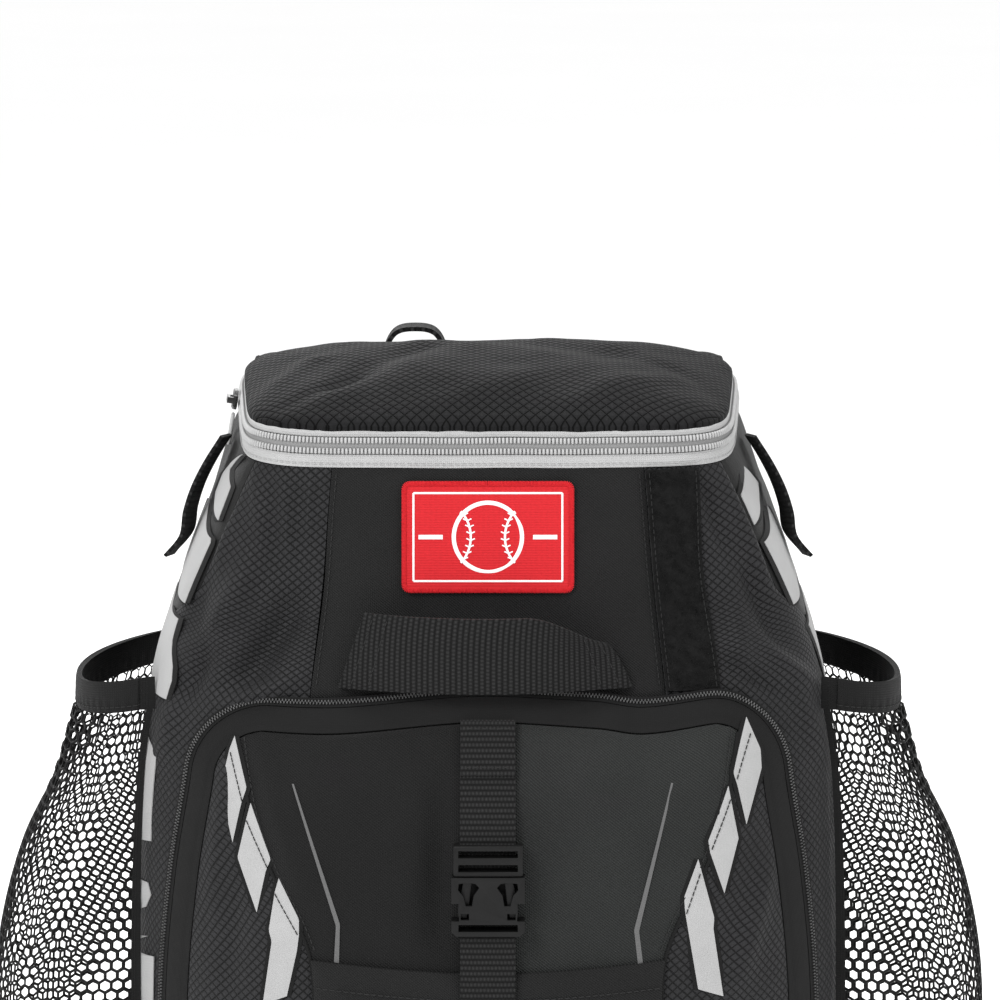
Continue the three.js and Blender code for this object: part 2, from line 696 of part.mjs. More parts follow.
function addLidSlider() {
  const level = LID_TAPE_LOWER + LID_COIL / 2;
  const angle = angleAtY(LID_SLIDER_BACK, 1);
  const seat = leftOf(onBand(angle, level, LID_COIL_PROUD + SEAT));
  const outward = leftOf(onBand(angle, level, LID_COIL_PROUD + SEAT + 1)).sub(seat);
  const forward = new THREE.Vector3(0, -1, 0);
  add("lid_slider", fromManifold(sliderSolid(LID_SLIDER)), "slider", groupOn(seat, outward, forward));
  const { long, wide, deep } = PULL_TAB;
  const tab = plate(rectangle(-wide / 2, -long, wide / 2, 0), -deep / 2, deep / 2);
  const slot = plate(rectangle(-wide * 0.22, -long * 0.9, wide * 0.22, -long * 0.45), -deep, deep);
  const hang = seat.clone().addScaledVector(outward, deep / 2 + SEAT);
  hang.z -= LID_SLIDER.wide / 2 + SEAM_GAP;
  const below = leftOf(onBody(angle, 1 - long / RIM_HEIGHT, LID_COIL_PROUD + SEAT + 2 * deep));
  const up = hang.clone().sub(below);
  add("lid_puller", fromManifold(tab.subtract(slot)), "pull", groupOn(hang, outward, up));
}

// Front pocket
const flapHalf = (z) => (POCKET_WIDTH / 2) * tableAt(FLAP_EDGES, "half", z / POCKET_TOP);
const innerInset = POCKET_COIL / 2 + POCKET_TAPE + SEAM_GAP;
const panelEdge = (z) => Math.min(flapHalf(z), outlineHalf(z, innerInset) - SEAM_GAP);
const hemAt = (x) => HEM_HEIGHT - HEM_SAG * Math.cos((Math.PI / 2) * clamp(x / flapHalf(HEM_HEIGHT), -1, 1));

const LOWER_SEAT = SEAM_GAP;

function pocketStrip(fromInset, toInset, outer, inner) {
  const paths = [outlinePath(fromInset), outlinePath(toInset)];
  const place = (i, j, out) => onPocket(paths[j][i].x, paths[j][i].z, out);
  return wall(place, paths[0].length - 1, 1, outer, inner);
}

function addFrontPocket() {
  const coilHalf = POCKET_COIL / 2;
  add("pocket_coil", pocketStrip(-coilHalf, coilHalf - halfGap, POCKET_COIL_PROUD, -CLOTH), "black_coil");
  add("pocket_tape", pocketStrip(coilHalf + halfGap, coilHalf + POCKET_TAPE, 0, -CLOTH), "black_tape");
  const innerTop = POCKET_TOP - innerInset;
  const sideTop = innerTop - POCKET_CORNER * 0.26;
  const flapColumns = 10;
  const flapLow = HEM_HEIGHT - HEM_SAG - HEM_TUCK;
  const flapHeights = [...heightsBetween(flapLow, sideTop), innerTop - SEAM_GAP];
  const flapPlace = (i, j, out) => {
    const z = flapHeights[j];
    return onPocket(lerp(-1, 1, i / flapColumns) * (panelEdge(z) - halfGap), z, out);
  };
  add("front_flap", wall(flapPlace, flapColumns, flapHeights.length - 1, 0, -CLOTH), "twill");
  const sideColumns = 4;
  const sideHeights = heightsBetween(POCKET_BOTTOM, sideTop);
  const sidePlace = (i, j, out) => {
    const z = sideHeights[j];
    const inner = flapHalf(z) + halfGap;
    return onPocket(lerp(inner, outlineHalf(z, innerInset), i / sideColumns), z, out);
  };
  addPair("pocket_side", wall(sidePlace, sideColumns, sideHeights.length - 1, 0, -CLOTH), "ripstop");
  const lowerColumns = 8;
  const lowerHeights = heightsBetween(POCKET_BOTTOM, HEM_HEIGHT);
  const lowerPlace = (i, j, out) => {
    const share = lerp(-1, 1, i / lowerColumns);
    const top = hemAt(share * flapHalf(HEM_HEIGHT));
    const z = Math.min(lowerHeights[j], top);
    return onPocket(share * (flapHalf(z) - halfGap), z, out);
  };
  const lowerOut = LOWER_SEAT + CLOTH;
  add("lower_pocket", wall(lowerPlace, lowerColumns, lowerHeights.length - 1, lowerOut, LOWER_SEAT), "twill");
}

function addPocketSlider() {
  const x = -outlineHalf(POCKET_SLIDER_HEIGHT, 0);
  const out = POCKET_COIL_PROUD + SEAT;
  const seat = onPocket(x, POCKET_SLIDER_HEIGHT, out);
  const outward = onPocket(x, POCKET_SLIDER_HEIGHT, out + 1).sub(seat);
  const along = new THREE.Vector3(0, 0, 1);
  add("pocket_slider", fromManifold(sliderSolid(POCKET_SLIDER)), "slider", groupOn(seat, outward, along));
}

// Flap strap and side-release buckle
const overHem = LOWER_SEAT + CLOTH + SEAT; // flap to the strap where the lower pocket is between
const buckleUnder = BUCKLE_HEIGHT - BUCKLE.body / 2 < HEM_HEIGHT + SEAT ? overHem : SEAT;
const BUCKLE_LIFT = buckleUnder + BUCKLE.deep / 2; // flap to the buckle's middle plane

// The strap lies on the cloth and rises to the buckle's middle plane.
function strapLift(z, lying) {
  const reach = BUCKLE.body / 2 + BUCKLE.ladder;
  const near = THREE.MathUtils.smoothstep(-Math.abs(z - BUCKLE_HEIGHT), -2.2 * reach, -0.8 * reach);
  return lerp(lying, BUCKLE_LIFT - WEBBING / 2, near);
}

function strapPiece(heights, lying) {
  const place = (i, j, out) => {
    const z = heights[j];
    const x = lerp(-WEBBING_WIDTH / 2, WEBBING_WIDTH / 2, i);
    const seat = onPocket(0, z, strapLift(z, lying) + out);
    return new THREE.Vector3(x, seat.y, seat.z);
  };
  return wall(place, 1, heights.length - 1, WEBBING, 0);
}

// The socket's windows on its right half: x as shares of half its width, z of its height from below.
const PRONG_WINDOW = [
  { x: 0.24, z: 0.83 },
  { x: 0.39, z: 0.7 },
  { x: 0.44, z: 0.52 },
  { x: 0.61, z: 0.52 },
  { x: 0.68, z: 0.69 },
  { x: 0.82, z: 0.79 },
  { x: 0.8, z: 0.9 },
  { x: 0.52, z: 0.92 },
  { x: 0.34, z: 0.9 },
];
const EYE_WINDOW = [
  { x: 0.52, z: 0.28 },
  { x: 0.75, z: 0.28 },
  { x: 0.75, z: 0.39 },
  { x: 0.52, z: 0.39 },
];
const SIDE_NOTCH = [
  { x: 0.79, z: 0.26 },
  { x: 1.06, z: 0.26 },
  { x: 1.06, z: 0.56 },
  { x: 0.79, z: 0.56 },
];
// The plug's right prong, in the same shares.
const PRONG = [
  { x: 0.42, z: 1.04 },
  { x: 0.64, z: 1.04 },
  { x: 0.82, z: 0.53 },
  { x: 0.82, z: 0.3 },
  { x: 0.58, z: 0.3 },
  { x: 0.52, z: 0.48 },
];

function onBuckle(rows) {
  return rows.map(({ x, z }) => [(x * BUCKLE.wide) / 2, (z - 0.5) * BUCKLE.body]);
}

function buckleOutline(half, low, high, chamfer) {
  return [
    [-half + chamfer, low],
    [half - chamfer, low],
    [half, low + chamfer],
    [half, high],
    [-half, high],
    [-half, low + chamfer],
  ];
}

// The socket has windows on each side of its middle, where the plug's prongs show.
function buckleSocket() {
  const { wide, body, deep, wall: skin, bar, slot } = BUCKLE;
  const half = wide / 2;
  const low = -body / 2;
  const high = body / 2;
  const slotHalf = WEBBING_WIDTH / 2 + SEAT;
  const floor = low + 2 * bar + slot;
  const outer = plate(buckleOutline(half, low, high, bar), -deep / 2, deep / 2);
  const mouth = plate(rectangle(-half + skin, floor, half - skin, high + skin), skin - deep / 2, deep / 2 - skin);
  const webbingSlot = plate(rectangle(-slotHalf, low + bar, slotHalf, low + bar + slot), -deep, deep);
  let socket = outer.subtract(mouth).subtract(webbingSlot);
  for (const window of [PRONG_WINDOW, EYE_WINDOW]) {
    const outline = onBuckle(window);
    for (const cut of [outline, mirrorOutline(outline)]) socket = socket.subtract(plate(cut, -deep, 0));
  }
  const notch = onBuckle(SIDE_NOTCH);
  for (const cut of [notch, mirrorOutline(notch)]) socket = socket.subtract(plate(cut, -deep, deep));
  return socket;
}

// The plug is a ladder for the webbing with a guide and two springy prongs.
function bucklePlug() {
  const { wide, body, ladder, deep, wall: skin, bar, slot, guide } = BUCKLE;
  const half = wide / 2 - SEAT;
  const base = body / 2 + SEAM_GAP;
  const top = base + ladder;
  const thin = deep / 2 - skin - SEAM_GAP;
  const slotHalf = WEBBING_WIDTH / 2 + SEAT;
  const frame = plate(buckleOutline(half, base, top, SEAT), SEAT - deep / 2, deep / 2 - SEAT);
  const upperSlot = plate(rectangle(-slotHalf, top - bar - slot, slotHalf, top - bar), -deep, deep);
  const lowerSlot = plate(rectangle(-slotHalf, base + bar, slotHalf, base + bar + slot), -deep, deep);
  const end = -body / 2 + 2 * bar + slot + SEAT;
  const middle = plate(rectangle(-guide / 2, end, guide / 2, base + bar / 2), -thin, thin);
  const prong = onBuckle(PRONG);
  const prongs = plate(prong, -thin, thin).add(plate(mirrorOutline(prong), -thin, thin));
  return frame.subtract(upperSlot).subtract(lowerSlot).add(middle).add(prongs);
}

function addFlapStrap() {
  const seat = onPocket(0, BUCKLE_HEIGHT, BUCKLE_LIFT);
  const group = new THREE.Group();
  group.position.copy(seat);
  add("buckle_socket", fromManifold(buckleSocket()), "buckle", group);
  add("buckle_plug", fromManifold(bucklePlug()), "buckle", group);
  root.add(group);
  const upperStart = seat.z + BUCKLE.body / 2 + BUCKLE.ladder + SEAT;
  const lowerEnd = seat.z - BUCKLE.body / 2 - SEAT;
  const drop = seat.z - BUCKLE_HEIGHT;
  add("flap_strap_upper", strapPiece(heightsBetween(upperStart - drop, STRAP_TOP), SEAT), "webbing");
  add("flap_strap_lower", strapPiece(heightsBetween(STRAP_BOTTOM, lowerEnd - drop), overHem), "webbing");
}

// Carry handle, badge and loop-tape strip on the front
function addFrontTrim() {
  const columns = 10;
  const handlePlace = (i, j, out) => {
    const share = i / columns;
    const x = HANDLE_OFFSET + (share - 0.5) * lerp(HANDLE_LENGTH, HANDLE_UPPER_LENGTH, j);
    const z = HANDLE_BOTTOM + j * HANDLE_WIDTH;
    const arch = HANDLE_ARCH * Math.sin(Math.PI * share) ** 0.8;
    const seat = onFront(x, z, SEAT);
    const upright = onFront(x, HANDLE_BOTTOM, SEAT);
    seat.y = lerp(upright.y, seat.y, 0.25) - arch - out;
    return seat;
  };
  add("carry_handle", wall(handlePlace, columns, 1, HANDLE_WEBBING, 0), "webbing");
  const badgePlace = (i, j, out) => {
    const x = (i / 4 - 0.5) * BADGE.wide;
    return onFront(x, BADGE.middle + (j / 2 - 0.5) * BADGE.high, out);
  };
  add("badge", wall(badgePlace, 4, 2, SEAT + BADGE.thick, SEAT), "badge");
  const stripLow = POCKET_TOP + POCKET_COIL / 2 + SEAT;
  const stripHigh = RIM_HEIGHT - 1;
  const stripPlace = (i, j, out) => {
    const z = lerp(stripLow, stripHigh, j / 6);
    return onFront(yokeSeam(z / RIM_HEIGHT) + halfGap + (i / 2) * STRIP_WIDTH, z, out);
  };
  add("loop_strip", wall(stripPlace, 2, 6, SEAT + STRIP_THICK, SEAT), "loop_tape");
}

// Net pockets: share 0 is the front seam and 1 the back seam.
function netSurface(share, z) {
  const bulge = tableAt(NET_BULGE, "out", clamp((z - NET_BOTTOM) / (NET_TOP - NET_BOTTOM), 0, 1));
  const turn = Math.PI * share;
  const y = lerp(-NET_FRONT, NET_BACK, (1 - Math.cos(turn)) / 2);
  const level = clamp(z / RIM_HEIGHT, 0, 1);
  const side = onBody(angleAtY(y, level), level, 0);
  const far = Math.max(Math.sin(turn), 0);
  const droop = (NET_DROOP * far * (z - NET_BOTTOM)) / (NET_TOP - NET_BOTTOM);
  return new THREE.Vector3(side.x + NET_THICK + SEAT + NET_REACH * bulge * far ** 0.85, side.y, z - droop);
}

// The normal is taken a little inside the ends, where the surface meets the wall.
function onNet(share, z, out) {
  const inside = clamp(share, 0.03, 0.97);
  const low = Math.max(z, NET_BOTTOM + 2);
  const at = netSurface(inside, low);
  const normal = offsetPoint(netSurface, inside, low, 1, 0.01, 0.5).sub(at);
  if (share < 0.03 || share > 0.97 || z < NET_BOTTOM + 2) normal.set(1, 0, 0);
  return netSurface(share, z).addScaledVector(normal, out);
}

// A pierced sheet of brick cells: full bricks are open hexagons, and half bricks at the ends solid.
function piercedWall(place, columns, rows, hole, outer, inner) {
  const points = [];
  const triangles = [];
  const ids = new Map();
  const vertex = (u, v, layer) => {
    const key = `${u.toFixed(5)},${v.toFixed(5)},${layer}`;
    if (!ids.has(key)) {
      ids.set(key, points.length);
      points.push(place(u / columns, v / rows, layer ? inner : outer));
    }
    return ids.get(key);
  };
  // Joints between the courses go up and down by turns, which makes hexagons of the bricks.
  const joint = (u, course) => {
    if (course === 0 || course === rows) return [u, course];
    const up = Math.round(2 * u + course) % 2 === 0;
    return [u, course + (up ? 0.16 : -0.16)];
  };
  for (let course = 0; course < rows; course++) {
    const odd = course % 2 === 1;
    const starts = odd ? [0, ...Array.from({ length: columns - 1 }, (_, i) => i + 0.5), columns - 0.5] : [];
    const brickStarts = odd ? starts : Array.from({ length: columns }, (_, i) => i);
    for (const start of brickStarts) {
      const halfBrick = odd && (start === 0 || start === columns - 0.5);
      const steps = halfBrick ? [0, 0.5] : [0, 0.5, 1];
      const low = steps.map((s) => joint(start + s, course));
      const high = steps.map((s) => joint(start + s, course + 1)).reverse();
      const ring = [...low, ...high];
      const middle = ring.reduce((m, p) => [m[0] + p[0] / ring.length, m[1] + p[1] / ring.length], [0, 0]);
      const shrunk = ring.map((p) => [lerp(middle[0], p[0], hole), lerp(middle[1], p[1], hole)]);
      for (let k = 0; k < ring.length; k++) {
        const next = (k + 1) % ring.length;
        const [a, b] = [ring[k], ring[next]];
        const [c, d] = [shrunk[next], shrunk[k]];
        const corner = (p, layer) => vertex(p[0], p[1], layer);
        if (!halfBrick) {
          triangles.push(...quad(corner(a, 0), corner(b, 0), corner(c, 0), corner(d, 0)));
          triangles.push(...quad(corner(a, 1), corner(d, 1), corner(c, 1), corner(b, 1)));
          triangles.push(...quad(corner(d, 0), corner(c, 0), corner(c, 1), corner(d, 1)));
        }
        const edge =
          (a[0] === b[0] && (a[0] === 0 || a[0] === columns)) ||
          (a[1] === b[1] && (a[1] === 0 || a[1] === rows));
        if (edge) triangles.push(...quad(corner(a, 0), corner(a, 1), corner(b, 1), corner(b, 0)));
      }
      if (halfBrick) {
        const [p, q, r, s] = ring.map(([u, v]) => vertex(u, v, 0));
        const [e, f, g, h] = ring.map(([u, v]) => vertex(u, v, 1));
        triangles.push(...quad(p, q, r, s), ...quad(e, h, g, f));
      }
    }
  }
  return geometryOf(points, triangles);
}

function addNetPockets() {
  const netPlace = (u, v, out) => onNet(u, lerp(NET_BOTTOM, NET_TOP, v), out);
  addPair("net", piercedWall(netPlace, NET_COLUMNS, NET_ROWS, NET_HOLE, 0, -NET_THICK), "net");
  const columns = 12;
  const bindingPlace = (i, j, out) => {
    const rim = onNet(i / columns, NET_TOP, out);
    rim.z += SEAM_GAP + j * BINDING_HEIGHT;
    return rim;
  };
  addPair("net_binding", wall(bindingPlace, columns, 1, BINDING_THICK - NET_THICK, -NET_THICK), "webbing");
}

// A bat strap lies down the side wall and ends in a tab that stands off it.
function addBatStraps() {
  const lie = SEAT + WEBBING / 2;
  const top = RIM_HEIGHT - BAT_STRAP_DROP;
  const stations = [];
  const steps = 4;
  const wallAt = (y) => onBody(angleAtY(y, top / RIM_HEIGHT), top / RIM_HEIGHT, 0);
  const slope = wallAt(BAT_STRAP_WIDTH / 2).x - wallAt(-BAT_STRAP_WIDTH / 2).x;
  for (let k = 0; k <= steps; k++) {
    const z = top - (BAT_STRAP_LENGTH * k) / steps;
    const seat = onBody(angleAtY(SMALL, z / RIM_HEIGHT), z / RIM_HEIGHT, lie);
    stations.push(new THREE.Vector3(seat.x, 0, seat.z));
  }
  const last = stations[steps];
  stations.push(new THREE.Vector3(last.x + BAT_STRAP_TAB * 0.6, 0, last.z - BAT_STRAP_TAB * 0.75));
  const across = new THREE.Vector3(slope, BAT_STRAP_WIDTH, 0).setLength(BAT_STRAP_WIDTH);
  const frames = stations.map((centre, k) => {
    const before = stations[Math.max(k - 1, 0)];
    const after = stations[Math.min(k + 1, stations.length - 1)];
    const tangent = after.clone().sub(before).normalize();
    const thick = tangent.clone().cross(new THREE.Vector3(0, 1, 0)).normalize().multiplyScalar(WEBBING);
    return { centre, wide: across, thick };
  });
  addPair("bat_strap", sweep(frames, FLAT_SHARES), "webbing");
}

// Shoulder straps: a padded part, a ladder lock and webbing down to the base of the back
const padEndX = () => 0.66 * HALF_WIDTH;

function backWallY(x, z) {
  const level = clamp(z / RIM_HEIGHT, 0, 1);
  return bodySurface(angleAtX(x, level, 1), level).y;
}

function addShoulderStraps() {
  const padLine = PAD_LINE.map((row) => {
    const x = lerp(PAD_SPREAD, padEndX(), row.x);
    const z = lerp(PAD_TOP - PAD_THICK / 2, PAD_END, row.at);
    const stand = SEAT + PAD_THICK / 2 + PAD_STAND * row.out;
    const innerEdge = x - PAD_WIDTH / 2;
    return new THREE.Vector3(x, backWallY(innerEdge, Math.min(z, RIM_HEIGHT)) + stand, z);
  });
  const across = new THREE.Vector3(1, 0, 0.15).normalize();
  const padWide = (t) => PAD_WIDTH * (t < 0.55 ? 1 : lerp(1, 0.78, (t - 0.55) / 0.45));
  const pad = stationsAlong(padLine, 14, padWide, PAD_THICK, across);
  addPair("shoulder_pad", sweep(pad, PAD_SHARES), "back_mesh");

  const padEnd = pad[pad.length - 1].centre;
  const anchorX = padEndX() + 5;
  const anchorY = backWallY(anchorX, ANCHOR_HEIGHT) + SEAT + WEBBING / 2;
  const anchor = new THREE.Vector3(anchorX, anchorY, ANCHOR_HEIGHT);
  const run = anchor.clone().sub(padEnd);
  const length = run.length();
  const direction = run.clone().normalize();
  const ladderStart = padEnd.clone().addScaledVector(direction, SEAM_GAP + 1);
  const ladder = new THREE.Group();
  ladder.position.copy(ladderStart);
  const towards = new THREE.Quaternion().setFromUnitVectors(new THREE.Vector3(0, 0, -1), direction);
  ladder.quaternion.copy(towards);
  const { wide, long, deep, bar } = LADDER;
  const slotHalf = WEBBING_WIDTH / 2 + 1;
  const opening = (long - 3 * bar) / 2;
  const body = plate(rectangle(-wide / 2, -long, wide / 2, 0), -deep / 2, deep / 2);
  const upper = plate(rectangle(-slotHalf, -bar - opening, slotHalf, -bar), -deep, deep);
  const lower = plate(rectangle(-slotHalf, -2 * bar - 2 * opening, slotHalf, -2 * bar - opening), -deep, deep);
  const lock = fromManifold(body.subtract(upper).subtract(lower));
  const ladderLeft = ladder.clone();
  add("ladder_lock_right", lock, "buckle", ladder);
  ladderLeft.position.x *= -1;
  ladderLeft.quaternion.set(towards.x, -towards.y, -towards.z, towards.w);
  add("ladder_lock_left", lock.clone(), "buckle", ladderLeft);
  root.add(ladder, ladderLeft);

  const start = ladderStart.clone().addScaledVector(direction, long + SEAM_GAP);
  const middle = start.clone().lerp(anchor, 0.55);
  const clear = backWallY(middle.x, middle.z) + SEAT + WEBBING;
  middle.y = Math.max(middle.y, clear);
  const reach = WEBBING_WIDTH / 2;
  const slope = backWallY(anchorX + reach, ANCHOR_HEIGHT) - backWallY(anchorX - reach, ANCHOR_HEIGHT);
  const wallAcross = new THREE.Vector3(WEBBING_WIDTH, slope, 0).normalize();
  const webbing = stationsAlong([start, middle, anchor], 6, () => WEBBING_WIDTH, WEBBING, wallAcross);
  addPair("strap_webbing", sweep(webbing, FLAT_SHARES), "webbing");
}

function addHaulLoop() {
  const { middle, half, low, top, wide, thick } = HAUL;
  const y = backWallY(middle, Math.min(low, RIM_HEIGHT)) + SEAT + wide / 2;
  const rise = top - low - thick / 2;
  const line = [
    { x: -1, z: 0 },
    { x: -0.94, z: 0.55 },
    { x: -0.62, z: 0.92 },
    { x: 0, z: 1 },
    { x: 0.62, z: 0.92 },
    { x: 0.94, z: 0.55 },
    { x: 1, z: 0 },
  ].map(({ x, z }) => new THREE.Vector3(middle + x * half, y, low + z * rise));
  const stations = stationsAlong(line, 12, () => wide, thick, new THREE.Vector3(0, 1, 0));
  add("haul_loop", sweep(stations, FLAT_SHARES), "webbing");
}

addBodyPanels();
addBase();
addLidZipper();
addLid();
addLidSlider();
addFrontPocket();
addPocketSlider();
addFlapStrap();
addFrontTrim();
addNetPockets();
addBatStraps();
addShoulderStraps();
addHaulLoop();

export default root;
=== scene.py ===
# Looks of the baseball bat backpack: sewn cloth, zippers, webbing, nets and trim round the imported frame.
# Shapes are worked out in millimetres and written to the meshes in metres.
import math

import bmesh
import bpy
import numpy as np
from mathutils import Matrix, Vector


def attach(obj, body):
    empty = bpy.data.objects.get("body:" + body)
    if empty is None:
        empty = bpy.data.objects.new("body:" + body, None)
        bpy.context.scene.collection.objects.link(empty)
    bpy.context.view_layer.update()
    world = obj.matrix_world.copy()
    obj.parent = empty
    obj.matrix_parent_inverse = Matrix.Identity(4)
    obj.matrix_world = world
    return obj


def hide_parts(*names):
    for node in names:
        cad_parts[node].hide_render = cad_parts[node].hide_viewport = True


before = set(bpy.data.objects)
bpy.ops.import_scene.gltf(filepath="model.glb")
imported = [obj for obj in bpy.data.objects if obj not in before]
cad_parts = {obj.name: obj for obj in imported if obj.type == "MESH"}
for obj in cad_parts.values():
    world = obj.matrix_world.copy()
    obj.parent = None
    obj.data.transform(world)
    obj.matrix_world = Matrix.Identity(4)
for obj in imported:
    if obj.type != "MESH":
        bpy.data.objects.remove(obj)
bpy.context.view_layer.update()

MM = 0.001

# Body sizes
BODY_WIDTH = 330
FRONT_REACH = 106
BACK_REACH = 96
RIM_HEIGHT = 435
RIM_RISE = 12
PLAN_POWER = 4
RIM_POWER = 6
RIM_TAPER = 0.055
BAND_LEAN = 0.16
LID_CROWN = 17
CROWN_POWER = 2.6
HALF_WIDTH = BODY_WIDTH / 2
YOKE_SEAM_TOP = 71
YOKE_SEAM_LOW = 81
BACK_SEAM = 100

# Cloth
CLOTH = 2.2
BACK_PAD = 8
HALF_GAP = 0.15
SEAT = 0.85
EDGE_DIP = 0.7  # how far cloth sinks into its seams

# Lid zipper
TAPE_LOWER = 6.2
TAPE_UPPER = 4.4
LID_COIL = 7.6
LID_COIL_PROUD = 1.4
ZIP_BAND = TAPE_LOWER + LID_COIL + TAPE_UPPER
LID_TOOTH = 1.75  # pitch of the teeth
LID_TOOTH_REACH = 2.4  # middle of the coil to each row of teeth
LID_TOOTH_SIZE = (2.7, 1.4, 1.7)
LID_TOOTH_SINK = 0.75
PULL_LONG = 7.1  # half the length of the puller's loop
PULL_WIDE = 2.2
PULL_CORD = 0.9  # radius of its cord
POCKET_TOOTH = 1.5
POCKET_TOOTH_REACH = 0.5
POCKET_TOOTH_SIZE = (1.2, 0.75, 1.0)
POCKET_TOOTH_LIFT = 0.5

# Front pocket
POCKET_TOP = 332
POCKET_BOTTOM = 30
POCKET_WIDTH = 300
POCKET_CORNER = 34
POCKET_DEPTH = 20
POCKET_ROUND = 62
POCKET_TAPE = 10
POCKET_COIL = 4
HEM_HEIGHT = 217
HEM_SAG = 6
HEM_TUCK = 10

# Webbing and buckle
WEBBING_WIDTH = 25
WEBBING = 1.6
STRAP_TOP = 320
STRAP_BOTTOM = 44
BUCKLE_HEIGHT = 244
BUCKLE_REACH = 27.5  # socket's middle to the far end of the plug
BUCKLE_HALF = 13.5
BUCKLE_LIFT = SEAT + 4.5
RIB = 2.6  # pitch of the webbing's ribs

# Handle, badge and loop strip
HANDLE_LENGTH = 134
HANDLE_UPPER_LENGTH = 110
HANDLE_OFFSET = -1
HANDLE_WIDTH = 34
HANDLE_BOTTOM = 337
HANDLE_ARCH = 16
HANDLE_WEBBING = 2.2
HANDLE_DROOP = 15  # fall of its upper right corner
BADGE_WIDE = 76
BADGE_HIGH = 48
BADGE_MIDDLE = 404
BADGE_CORNER = 2.4
BADGE_FRAME_INSET = 4.2
BADGE_STITCH = 0.62  # pitch of the border's stitches
BADGE_STITCH_SIZE = (2.5, 0.75, 1.3)
BALL_RADIUS = 15.5
STRIP_WIDTH = 24
LOOP_FIBRES = 5200

# Net pockets
NET_BOTTOM = 14
NET_TOP = 319
NET_DROOP = 8
NET_FRONT = 60
NET_BACK = 60
NET_REACH = 69
NET_THICK = 1.6
BINDING_HEIGHT = 15
NET_CELL = 5.8
NET_STRAND = 1.25
NET_FOOT = 7  # height of the tape at the net's foot
NET_GATHER = 55  # height of the pleats below the binding
NET_PLEATS = 23

# Shoulder straps
PAD_WIDTH = 60
PAD_THICK = 11
PAD_TOP = 460
PAD_SPREAD = 84
PAD_STAND = 44
PAD_END = 168
PAD_END_X = 0.66 * HALF_WIDTH
LADDER_LONG = 22
LADDER_GAP = 1.6  # clearance at both ends of a ladder lock
ANCHOR_HEIGHT = 44

# Bat straps and haul loop
BAT_STRAP_WIDTH = 22
BAT_STRAP_LENGTH = 44
BAT_STRAP_TAB = 14
BAT_STRAP_DROP = 4
BAT_STRAP_BOW = 4  # how far its middle stands off the wall
BAT_STRAP_TURN = 6  # how far its front edge stands off the wall
HAUL_MIDDLE = -36
HAUL_HALF = 16
HAUL_LOW = 446
HAUL_TOP = 478
HAUL_WIDE = 18
HAUL_THICK = 2.2

# Camera
LENS = 174
SENSOR = 36
CAMERA = (5.5, -2252.9, 764.2)
TARGET = (5.5, -80, 420)
IMAGE = 1000
PIXELS_PER_MM = 2.2  # at the front of the pocket
SEARCH_STEPS = 12

# Tables of the body's form, as in the solids: height share, then shares of half width, front and back
SECTIONS = [
    (0, 0.915, 0.88, 0.93),
    (0.03, 0.965, 0.945, 0.975),
    (0.09, 0.99, 0.985, 0.99),
    (0.28, 1, 1, 1),
    (0.5, 1, 1, 1),
    (0.66, 0.988, 0.99, 0.995),
    (0.735, 0.964, 0.968, 0.992),
    (0.79, 0.932, 0.92, 0.988),
    (0.84, 0.884, 0.862, 0.983),
    (0.89, 0.836, 0.835, 0.978),
    (0.94, 0.777, 0.808, 0.97),
    (1, 0.71, 0.775, 0.955),
]
DENTS = [
    (-0.62, 0.875, 0.18, -0.05),
    (0.62, 0.885, 0.18, -0.03),
    (-0.8, 0.8, 0.17, 0.02),
    (0.78, 0.8, 0.17, 0.03),
    (0.3, 0.8, 0.12, -0.025),
]
POCKET_EDGES = [(0, 0.955), (0.2, 0.995), (0.4, 1), (0.6, 0.99), (0.76, 0.955), (0.9, 0.905), (1, 0.885)]
FLAP_EDGES = [
    (0, 0.545), (0.3, 0.53), (0.55, 0.524), (0.645, 0.53), (0.7, 0.568), (0.777, 0.652), (0.855, 0.713),
    (1, 0.765),
]
NET_BULGE = [
    (0, 0), (0.04, 0.42), (0.11, 0.8), (0.25, 0.98), (0.45, 1), (0.62, 0.95), (0.78, 0.78), (0.9, 0.57),
    (1, 0.48),
]
PAD_LINE = [
    (0.12, 0, 0), (0.06, 0, 0.04), (0.015, 0, 0.24), (0, 0.01, 0.52), (0.035, 0.04, 0.82), (0.2, 0.24, 1),
    (0.45, 0.6, 0.96), (0.7, 0.88, 0.72), (0.88, 0.98, 0.44), (1, 1, 0.24),
]


# Form of the body and its pieces

def table_at(rows, t, column=1):
    """A column of a table read at t, on a smooth curve through its rows."""
    at = np.array([row[0] for row in rows], float)
    value = np.array([row[column] for row in rows], float)
    k = np.arange(len(at))
    low = np.maximum(k - 1, 0)
    high = np.minimum(k + 1, len(at) - 1)
    slope = (value[high] - value[low]) / (at[high] - at[low])
    t = np.asarray(t, float)
    i = np.clip(np.searchsorted(at, t) - 1, 0, len(at) - 2)
    step = at[i + 1] - at[i]
    s = np.clip((t - at[i]) / step, 0, 1)
    bend = s * (1 - s) * step
    ease = s * s * (3 - 2 * s)
    return value[i] + (value[i + 1] - value[i]) * ease + bend * (slope[i] * (1 - s) - slope[i + 1] * s)


def lerp(a, b, t):
    return a + (b - a) * t


def shares(count):
    """Even shares from 0 to 1."""
    return np.linspace(0, 1, count)


def run_along(points):
    """Length along a line at each of its points."""
    return np.concatenate([[0], np.cumsum(np.linalg.norm(np.diff(points, axis=0), axis=-1))])


def matched(*values):
    """Values as arrays of one shape."""
    return np.broadcast_arrays(*(np.asarray(value, float) for value in values))


def smoothstep(x, low, high):
    t = np.clip((x - low) / (high - low), 0, 1)
    return t * t * (3 - 2 * t)


